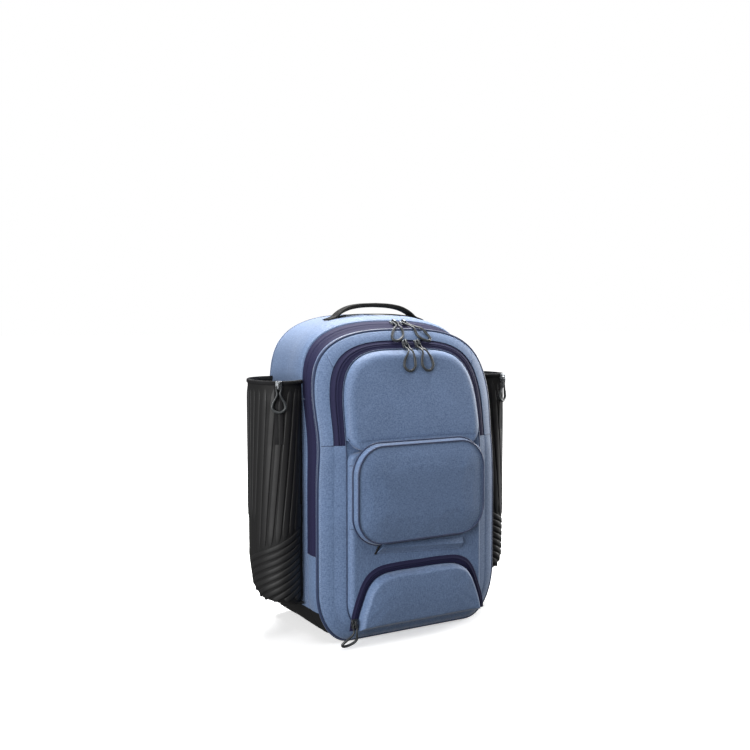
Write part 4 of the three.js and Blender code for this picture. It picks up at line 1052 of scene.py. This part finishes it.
def sleeve_point(along, z, proud=0.0):
    """Places on the right sleeve's outer face, from the share along its plan and the height."""
    along, z = np.broadcast_arrays(np.asarray(along, float), np.asarray(z, float))
    high = (z - sleeve_low) / sleeve_rise
    reach, fore, rear = [np.interp(high, sleeve_table[:, 0], sleeve_table[:, k]) for k in (1, 2, 3)]
    ticks = np.linspace(0, 1, len(plan))

    def spot(share):
        x, y = [np.interp(np.clip(share, 0, 1), ticks, plan[:, k]) for k in (0, 1)]
        bag = sleeve_root + np.maximum(x, 0) * reach * sleeve_reach
        return np.stack([bag, sleeve_front + (fore + (1 - rear - fore) * y) * sleeve_long, z], -1)

    tangent = spot(along + 0.02) - spot(along - 0.02)
    out = np.stack([tangent[..., 1], -tangent[..., 0], 0 * z], -1)
    out /= np.maximum(np.linalg.norm(out, axis=-1, keepdims=True), 1e-9)
    return spot(along) + proud * out


# A rib's section: how far across, as a share of its width, and how far proud, as a share of its height.
rib_section = [
    (-0.5, -1), (-0.49, 0), (-0.43, 0.75), (-0.33, 1), (0, 1.06), (0.33, 1), (0.43, 0.75), (0.49, 0),
    (0.5, -1),
]


def rib_rows(from_along, from_z, to_along, to_z, wide, proud, steps=24):
    """A raised rib with round shoulders that runs out to a point at each end, as rings of places."""
    share = np.linspace(0, 1, steps)
    along = from_along + (to_along - from_along) * share
    z = from_z + (to_z - from_z) * share
    line = sleeve_point(along, z)
    run = np.gradient(line, axis=0)
    out = sleeve_point(along, z, 1.0) - line
    side = np.cross(run, out)
    side /= np.linalg.norm(side, axis=1)[:, None]
    from_end = np.minimum(np.arange(steps), np.arange(steps)[::-1])
    taper = np.interp(from_end, [0, 1, 2], [0, 0.8, 1])[:, None]
    return np.stack([line + side * (s * wide) * taper + out * (h * proud * taper) for s, h in rib_section], 1)


rib_wide, rib_pitch, rib_proud = 10.6 * mm, 13.2 * mm, 1.5 * mm
plan_length = np.linalg.norm(np.diff(plan * [sleeve_reach, sleeve_long], axis=0), axis=1).sum()
rib_lines = []
for along in np.arange(0.075, 0.96, rib_pitch / plan_length):
    foot = (199 - 58 * min(1, along / 0.5) + 56 * rise(0.46, 0.5, along)) * mm
    reach = 0.16 - 0.13 * min(1, along / 0.75)
    high = max(0.05, along - reach)
    top = foot + (sleeve_top - 12 * mm - foot) * min(1, (along - high) / reach)
    rib_lines.append((along, foot, high, top, rib_wide))
for k in range(10):
    fore, drop = (187 - 12 * k) * mm, 60 * mm
    part = min(1, (fore - 70 * mm) / drop)
    rib_lines.append((0.06, fore, 0.06 + 0.56 * part, fore - drop * part, 8.6 * mm))

sleeve_z = np.concatenate([[60, 61.5, 66, 71, 78, 90, 104, 120], np.linspace(136, 437, 22)]) * mm
sleeve_along = np.linspace(0, 1, 72)


def mirrored(piece, name):
    """A copy on the bag's other side."""
    twin = piece.copy()
    twin.data = piece.data.copy()
    twin.name = twin.data.name = name
    bpy.context.scene.collection.objects.link(twin)
    alone(twin)
    bpy.ops.object.mode_set(mode="EDIT")
    bpy.ops.mesh.select_all(action="SELECT")
    bpy.ops.transform.mirror(
        constraint_axis=(True, False, False), orient_type="GLOBAL", center_override=(0, 0, 0)
    )
    bpy.ops.mesh.flip_normals()
    bpy.ops.object.mode_set(mode="OBJECT")
    return twin


sheet_rows = [sleeve_point(sleeve_along, z) for z in sleeve_z]
sleeve_skin = lay("bat_sleeve_right_skin", sheet_rows)
slack(sleeve_skin, 1.2 * mm, 0.05)
modify(sleeve_skin, "SOLIDIFY", thickness=1.8 * mm, offset=-1)
smooth(sleeve_skin, 60)
ribs = [lay(f"rib_{k}", rib_rows(*line, rib_proud), closed=True) for k, line in enumerate(rib_lines)]
rib_sheet = join("bat_sleeve_right_ribs", ribs)
edit(rib_sheet, ("normals_make_consistent", {"inside": False}))
smooth(rib_sheet, 60)
# The binding's section: how far proud of the sleeve and how high over its lower edge, in millimetres.
binding_section = [
    (0.2, 3), (1.4, 3.6), (1.9, 5), (1.9, 7.5), (1.5, 9.2), (0.4, 10), (-1.2, 10), (-2.2, 8.5), (-2.3, 4),
]
binding_high = 10 * mm
binding_rows = [
    sleeve_point(sleeve_along, sleeve_top - binding_high + height * mm, proud * mm)
    for proud, height in binding_section
]
binding = lay("bat_sleeve_right_binding", binding_rows)
modify(binding, "SOLIDIFY", thickness=0.7 * mm, offset=-1)
smooth(binding, 60)
black_binding = coated_black("binding_tape", "#161618", 1.2, 0.8)
# The placket: a smooth strip over the short zip that opens the mouth, with a slit down its middle.
# Its section: how far across and how far proud, in millimetres.
notch = 0.27
placket_long = 104 * mm
placket_section = [
    (-8.2, 0.4), (-7.9, 1.5), (-6.5, 2.0), (-3, 2.0), (-1.2, 1.9), (-0.5, 1.5), (0, 0.4),
    (0.5, 1.5), (1.2, 1.9), (3, 2.0), (6.5, 2.0), (7.9, 1.5), (8.2, 0.4),
]
placket_rows = [
    [sleeve_point(notch + across * mm / plan_length, z, proud * mm) for across, proud in placket_section]
    for z in np.linspace(sleeve_top - placket_long, sleeve_top - 8 * mm, 30)
]
placket = lay("bat_sleeve_right_placket", placket_rows)
modify(placket, "SOLIDIFY", thickness=0.8 * mm, offset=-1)
smooth(placket, 60)
for piece, finish, nodes in (
    (sleeve_skin, sleeve_groove_shade, ("bat_sleeve_right",)),
    (rib_sheet, sleeve_rubber, ()),
    (binding, black_binding, ()),
    (placket, black_binding, ()),
):
    twin = mirrored(piece, piece.name.replace("right", "left"))
    dress(piece, finish, "sleeve_rubber", *nodes)
    dress(twin, finish, "sleeve_rubber", *[n.replace("right", "left") for n in nodes])


# Grab handle: webbing folded over and stitched into a rounded grip, its ends sewn into the top seam.
def webbing(name, colour, pale):
    finish, tree, skin = new_finish(name, colour, 0.8)
    skin.inputs["Specular IOR Level"].default_value = 0.25
    chart = put(tree, "TexCoord").outputs["UV"]
    place = put(tree, "TexCoord").outputs["Object"]
    turned = put(tree, "Mapping", {"Vector": chart, "Rotation": (0, 0, math.pi / 4)}).outputs[0]
    ribs_wave = put(tree, "TexWave", {"Vector": turned, "Scale": 95.0}).outputs[0]
    grain = put(tree, "TexNoise", {"Vector": place, "Scale": 600.0}).outputs[0]
    mixed = put(tree, "Math", {0: ribs_wave, 1: grain}, operation="MULTIPLY").outputs[0]
    tint = put(tree, "Mix", {0: mixed, 6: linear(colour), 7: linear(pale)}, data_type="RGBA")
    tree.links.new(tint.outputs[2], skin.inputs["Base Color"])
    bump = put(tree, "Bump", {"Height": ribs_wave, "Strength": 0.5, "Distance": 0.4 * mm})
    tree.links.new(bump.outputs[0], skin.inputs["Normal"])
    return finish


black_webbing = webbing("polypropylene_webbing", "#131312", "#252321")
handle_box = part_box("top_handle")
handle_y = (handle_box[0].y + handle_box[1].y) / 2


def top_at(back, x):
    """The bag's top at a distance behind the piping and from its middle."""
    top, (across, up), leaning = body_row(back)
    z = arch_base + (top - arch_base) * (1 - (abs(x) / half_width) ** across) ** (1 / up)
    return Vector((x, plane + back + leaning * lean(z), z))


def capped(rows):
    """Rings with a point added at each end, which closes them."""
    rows = np.array(rows, float)
    return np.concatenate([0 * rows[:1] + rows[0].mean(0), rows, 0 * rows[:1] + rows[-1].mean(0)])


# A flat band's section, as shares of its half width and its half thickness.
band_section = [
    (-1, 0), (-0.97, 0.6), (-0.9, 0.9), (-0.7, 1), (-0.35, 1), (0, 1), (0.35, 1), (0.7, 1), (0.9, 0.9),
    (0.97, 0.6),
]
band_section += [(-s, -h) for s, h in band_section]


def band(name, half_line):
    """A band over the bag's top: half its line from the right end, as x, z, half width and half thickness."""
    line = flowing(half_line, 6)
    line = np.concatenate([line, line[::-1][1:] * [-1, 1, 1, 1]]) * mm
    run = np.gradient(line[:, :2], axis=0)
    run /= np.linalg.norm(run, axis=1)[:, None]
    rings = [
        [[x + tz * h * thick, handle_y + s * wide, z - tx * h * thick] for s, h in band_section]
        for (x, z, wide, thick), (tx, tz) in zip(line, run)
    ]
    piece = lay(name, capped(rings), closed=True)
    edit(piece, ("normals_make_consistent", {"inside": False}))
    smooth(piece, 60)
    return piece


def seat(x):
    """The bag's top under the handle, in millimetres, at a distance from its middle in millimetres."""
    return top_at(handle_y - plane, x * mm).z / mm


handle_line = [
    [98, seat(98) + 1, 12.6, 0.9], [90, seat(90) + 1.2, 13, 1.1], [82, seat(82) + 2, 13, 1.5],
    [74, 547.8, 12.8, 1.9], [65, 553, 11.5, 2.8], [52, 558, 9.8, 3.6], [30, 561.8, 9.2, 3.8],
    [0, 563.2, 9.2, 3.8],
]
handle = dress(band("top_handle_cloth", handle_line), black_webbing, "black_webbing", "top_handle")
base_line = [[x, seat(x) + 0.9, 13, 0.8] for x in (78, 60, 40, 20, 0)]
dress(band("top_handle_base", base_line), black_webbing, "black_webbing")
for side, word in ((-1, "left"), (1, "right")):
    for x in (87, 94):
        tack = [[side * x * mm, handle_y + y * mm, (seat(x) + 2.4) * mm] for y in np.linspace(-11, 11, 8)]
        stitches(f"handle_tack_{word}_{x}", tack, thread_grey, "black_webbing")


# Zip sliders: die-cast zinc, plated gunmetal, two plates joined by a neck, with a bridge that holds the pull.
def cast_metal(name, colour):
    finish, tree, skin = new_finish(name, colour, 0.3, metallic=1.0)
    place = put(tree, "TexCoord").outputs["Object"]
    rub = put(tree, "TexNoise", {"Vector": place, "Scale": 300.0, "Detail": 3.0}).outputs[0]
    worn = put(tree, "MapRange", {0: rub, 1: 0.3, 2: 0.7, 3: 0.22, 4: 0.45})
    tree.links.new(worn.outputs[0], skin.inputs["Roughness"])
    return finish


gunmetal = cast_metal("gunmetal_zinc", "#6d7073")
slider_long, slider_wide = 15 * mm, 11 * mm


def rounded_block(size, place, bevel):
    """A cube at its size and place with its edges rounded."""
    bpy.ops.object.select_all(action="DESELECT")
    bpy.ops.mesh.primitive_cube_add(size=1, location=(0, 0, 0))
    block = bpy.context.active_object
    block.data.transform(Matrix.Translation(place) @ Matrix.Diagonal((*size, 1)))
    modify(block, "BEVEL", width=bevel, segments=3, limit_method="NONE")
    return block


# A slider's blocks: size and place along it, off its foot and across, and the rounding of the edges. They are
# the lower and the upper plate, the neck, the bridge's two posts and its bar.
slider_blocks = [
    ((slider_long, 1.3 * mm, slider_wide), (0, 0.7 * mm, 0), 0.5 * mm),
    ((slider_long * 0.92, 1.3 * mm, slider_wide * 0.94), (0, 2.6 * mm, 0), 0.5 * mm),
    ((slider_long * 0.3, 2.4 * mm, slider_wide * 0.25), (-slider_long * 0.3, 1.6 * mm, 0), 0.3 * mm),
    ((2 * mm, 4.8 * mm, 4 * mm), (-4.6 * mm, 4.9 * mm, 0), 0.7 * mm),
    ((2 * mm, 4.8 * mm, 4 * mm), (4.6 * mm, 4.9 * mm, 0), 0.7 * mm),
    ((11.2 * mm, 1.7 * mm, 4 * mm), (0, 7.2 * mm, 0), 0.7 * mm),
]


def slider_axes(through, out):
    """The directions along a slider, off its foot and across, from those of its window and its foot."""
    up = out.normalized()
    side = (through - up * through.dot(up)).normalized()
    return up.cross(side), up, side


def slider(name, place, through, out, node):
    """A slider with its window along one direction and its foot square to another."""
    ahead, up, side = slider_axes(through, out)
    whole = join(name + "_metal", [rounded_block(*block) for block in slider_blocks])
    turn = Matrix((ahead, up, side)).transposed().to_4x4()
    whole.data.transform(Matrix.Translation(place) @ turn)
    smooth(whole, 40)
    return dress(whole, gunmetal, "slider_metal", node)


# Pulls: loops of moulded rubber over cord, shaped like a drop, dark grey with a satin skin.
pull_rubber = moulded_rubber("pull_rubber", "#35383a", 0.38, 1.4, 0.15)
pull_table = np.array(
    [
        [0, 0.1, 0.5], [0.03, 0.33, 0.5], [0.15, 0.34, 0.6], [0.3, 0.22, 0.75], [0.48, 0.5, 0.75],
        [0.66, 0.88, 1], [0.82, 1, 1], [0.94, 0.68, 1], [1, 0.22, 1],
    ]
)
pull_half, pull_radius = 11 * mm, 2.3 * mm


def pull(name, line, across, node):
    """A loop that hangs along a line of places, with its width along across."""
    fall = evenly(flowing(line, 12), 100)
    side = np.array(across.normalized())
    shape = flowing(pull_table, 6)
    shares = np.clip(shape[:, 0], 0, 1)
    middle = np.stack([np.interp(shares * 100, np.arange(101), column) for column in fall.T], 1)
    one = middle + side * (shape[:, 1:2] * pull_half)
    other = (middle - side * (shape[:, 1:2] * pull_half))[::-1]
    thick = np.concatenate([shape[:, 2], shape[::-1, 2]])
    loop = cord(name + "_loop", np.concatenate([one, other]), pull_radius, sides=3, swell=thick)
    return dress(loop, pull_rubber, "pull_rubber", node)


def slope_at(share, x):
    """The front gusset's upper part at its share and a distance from the middle."""
    outer = top_at(0, x)
    high = (1 - (abs(x) / (panel["half"] * mm)) ** panel["power"]) ** (1 / panel["power"])
    inner = (panel["base"] + (panel["top"] - panel["base"]) * high) * mm
    z = outer.z + share * (inner - outer.z)
    return Vector((x, plane + lean(z) - seam_start + share * (seam_start - front_depth), z))


pull_long = 45 * mm
clear = pull_radius + 0.3 * mm
pull_off = 1 * mm


def zip_pull(name, place, through, out, line):
    """A slider at its place and the pull that hangs from its window along a line."""
    ahead, up, _ = slider_axes(through, out)
    start = place + up * 5 * mm
    way = math.copysign(1, ahead.dot(line[0] - start))
    past = start + ahead * (way * 0.6 * slider_long)
    slider(name + "_slider", place + up * 0.3 * mm, through, out, name + "_slider")
    pull(name + "_pull", [tuple(p) for p in (start, past, *line)], through, name + "_pull")


tape_middle = seam_end + 0.55 * 33 * mm
slope_out = Vector((0, -31, 22)).normalized()
for name, x, swing in (("main_zip_left", 3 * mm, -20 * mm), ("main_zip_right", 23 * mm, 24 * mm)):
    climb = top_at(tub_start, x) - top_at(seam_end, x)
    off = 3 * mm + clear + pull_off
    line = [
        top_at(0, x + part * swing) + Vector((0, off * math.cos(turn), off * math.sin(turn)))
        for turn, part in ((1.5, 0.3), (2.4, 0.45))
    ]
    line += [
        slope_at(share, x + part * swing) + slope_out * (clear + pull_off)
        for share, part in ((0.3, 0.7), (0.62, 1))
    ]
    zip_pull(name, top_at(tape_middle, x), Vector((1, 0, 0)), Vector((0, -climb.z, climb.y)), line)
for name, x, swing in (("front_zip_left", -1 * mm, -6 * mm), ("front_zip_right", 24 * mm, 6 * mm)):
    line = []
    for down, part in ((0.09, 0.3), (0.44, 0.8), (0.82, 1)):
        spot = front(x + part * swing, panel["top"] * mm - down * pull_long, upper_high + clear + pull_off)
        line.append(Vector(spot))
    zip_pull(name, slope_at((tape_from + tape_to) / 2, x), Vector((1, 0, 0)), slope_out, line)
# The lower zip's slider stands low on the left leg of its tape.
leg_x, leg_z, leg_seat = -127.232 * mm, low_foot + 0.14 * (low_top - low_foot), low_seat + 2 * mm
line = [
    Vector(front(leg_x - 0.9 * mm, leg_z - 14.9 * mm, leg_seat + 5.9 * mm)),
    Vector(front(leg_x - 5.9 * mm, leg_z - 25.2 * mm, leg_seat + 3.2 * mm)),
    Vector(front(leg_x - 15 * mm, 5.8 * mm, leg_seat - 1 * mm)),
]
zip_pull("lower_zip", Vector(front(leg_x, leg_z, leg_seat)), Vector((1, 0, 0)), Vector((0, -1, 0)), line)
for side, word in ((-1, "left"), (1, "right")):
    facing = sleeve_point(notch, sleeve_top, 1.0) - sleeve_point(notch, sleeve_top)
    out = Vector((side * facing[0], facing[1], 0))

    def spot(z, off):
        x, y, _ = sleeve_point(notch, z, off)
        return Vector((side * x, y, z))

    hang = 2.4 * mm + clear
    line = [
        spot(sleeve_top - down * pull_long, hang + off * mm) for down, off in ((0.49, 2), (0.8, 0), (1.13, 0))
    ]
    place = spot(sleeve_top - slider_long / 2, 2 * mm)
    zip_pull(f"sleeve_zip_{word}", place, Vector((-out.y, out.x, 0)), out, line)


# Back panel: black spacer mesh over foam, with an air channel down the middle, sewn inside the bag's back.
def spacer_mesh(name, colour):
    finish, tree, skin = new_finish(name, colour, 0.85, sheen_weight=0.3)
    place = put(tree, "TexCoord").outputs["Object"]
    holes = put(tree, "TexVoronoi", {"Vector": place, "Scale": 330.0, "Randomness": 0.1}).outputs["Distance"]
    deep = put(tree, "MapRange", {0: holes, 1: 0.15, 2: 0.45, 3: 0.0, 4: 1.0}).outputs[0]
    tint = put(tree, "Mix", {0: deep, 6: linear("#0a0a0b"), 7: linear(colour)}, data_type="RGBA")
    tree.links.new(tint.outputs[2], skin.inputs["Base Color"])
    bump = put(tree, "Bump", {"Height": deep, "Strength": 0.7, "Distance": 0.8 * mm})
    tree.links.new(bump.outputs[0], skin.inputs["Normal"])
    return finish


black_mesh = spacer_mesh("spacer_mesh", "#2a2a2d")
pad_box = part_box("back_panel")
pad_half, pad_low, pad_high = pad_box[1].x, pad_box[0].z, pad_box[1].z
pad_thick = pad_box[1].y - pad_box[0].y


def back_place(x, z, inset):
    """The back panel's face: a rolled edge, an air channel down the middle and shallow quilting across."""
    high = pad_thick * rolled(inset, 9 * mm)
    groove = 5 * mm * (1 - rise(9 * mm, 17 * mm, np.abs(x)))
    quilt = 2.2 * mm * np.exp(-(((np.mod(z - 90 * mm, 92 * mm) - 46 * mm) / (4 * mm)) ** 2))
    off = np.maximum(high - (groove + quilt) * (high / pad_thick), 0)
    return np.stack([x, plane + depth + 0.3 * mm + off, z], -1)


back_pad = fill_outline(
    "back_panel_cloth", rounded_quarters(pad_half, pad_low, pad_high, 60 * mm), back_place, 60, 1.2
)
edit(back_pad, ("flip_normals", {}))
close_back(back_pad)
smooth(back_pad, 60)
dress(back_pad, black_mesh, "black_fabric", "back_panel")


# Shoulder straps: foam in spacer mesh with a bound edge, sewn in under the back panel's top. Each ends in a
# moulded acetal ladder lock on flat webbing that is sewn in low on the bag's side.
# A strap's rows, in millimetres: x, how far off the back, z, half its width and half its thickness.
strap_rows = [
    [73.5, -6.2, 520, 25, 4], [73.5, 1.7, 504, 26.5, 5], [73.5, 17.9, 475, 31, 5],
    [77, 23.3, 430, 33, 5.2], [87.5, 23.3, 373, 33, 5.2], [99.8, 20.6, 315, 33, 5],
    [110.3, 16.1, 258, 29.5, 4.8], [115.5, 12.5, 213, 20.5, 4.2], [117.3, 11.6, 201, 16.5, 3],
]
# The strap's section: a thick middle between bound edges, as shares of its half width and half thickness.
strap_section = [
    (-1, 0), (-0.99, 0.35), (-0.95, 0.5), (-0.86, 0.52), (-0.84, 0.42), (-0.79, 0.68), (-0.68, 0.92),
    (-0.5, 1), (-0.2, 1), (0.2, 1), (0.5, 1), (0.68, 0.92), (0.79, 0.68), (0.84, 0.42), (0.86, 0.52),
    (0.95, 0.5), (0.99, 0.35),
]
strap_section += [(-s, -h) for s, h in strap_section]


def swept(name, rows, section):
    """A strap on the bag's back along rows of x, off the back, z, half width and half thickness."""
    line = flowing(rows, 8) * mm
    run = np.gradient(line[:, :3], axis=0)
    run /= np.linalg.norm(run, axis=1)[:, None]
    side = np.cross(run, [0, 1, 0])
    side /= np.linalg.norm(side, axis=1)[:, None]
    out = np.cross(side, run)
    middle = line[:, :3] + [0, plane + depth, 0]
    rings = np.stack([middle + side * line[:, 3:4] * s + out * line[:, 4:5] * h for s, h in section], 1)
    piece = lay(name, capped(rings), closed=True)
    edit(piece, ("normals_make_consistent", {"inside": False}))
    smooth(piece, 60)
    return piece


web_rows = [
    [117, 22.5, 173.5, 10, 1], [125, 20, 150, 10, 1], [136, 16.5, 124, 10, 1], [148, 8, 92, 10, 1],
    [153, 2.6, 76, 10, 1], [154, 1.6, 62.5, 10, 1],
]
acetal = moulded_rubber("acetal", "#18181a", 0.4)
strap = swept("shoulder_strap_right_foam", strap_rows, strap_section)
web = swept("strap_webbing_right_cloth", web_rows, band_section)
for piece, finish, slot in ((strap, black_mesh, "black_fabric"), (web, black_webbing, "black_webbing")):
    node = piece.name.rsplit("_", 1)[0]
    twin = mirrored(piece, piece.name.replace("right", "left"))
    dress(piece, finish, slot, node)
    dress(twin, finish, slot, node.replace("right", "left"))
for name in ("ladder_lock_left", "ladder_lock_right"):
    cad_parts[name].data.materials.clear()
    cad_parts[name].data.materials.append(acetal)

low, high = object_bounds()
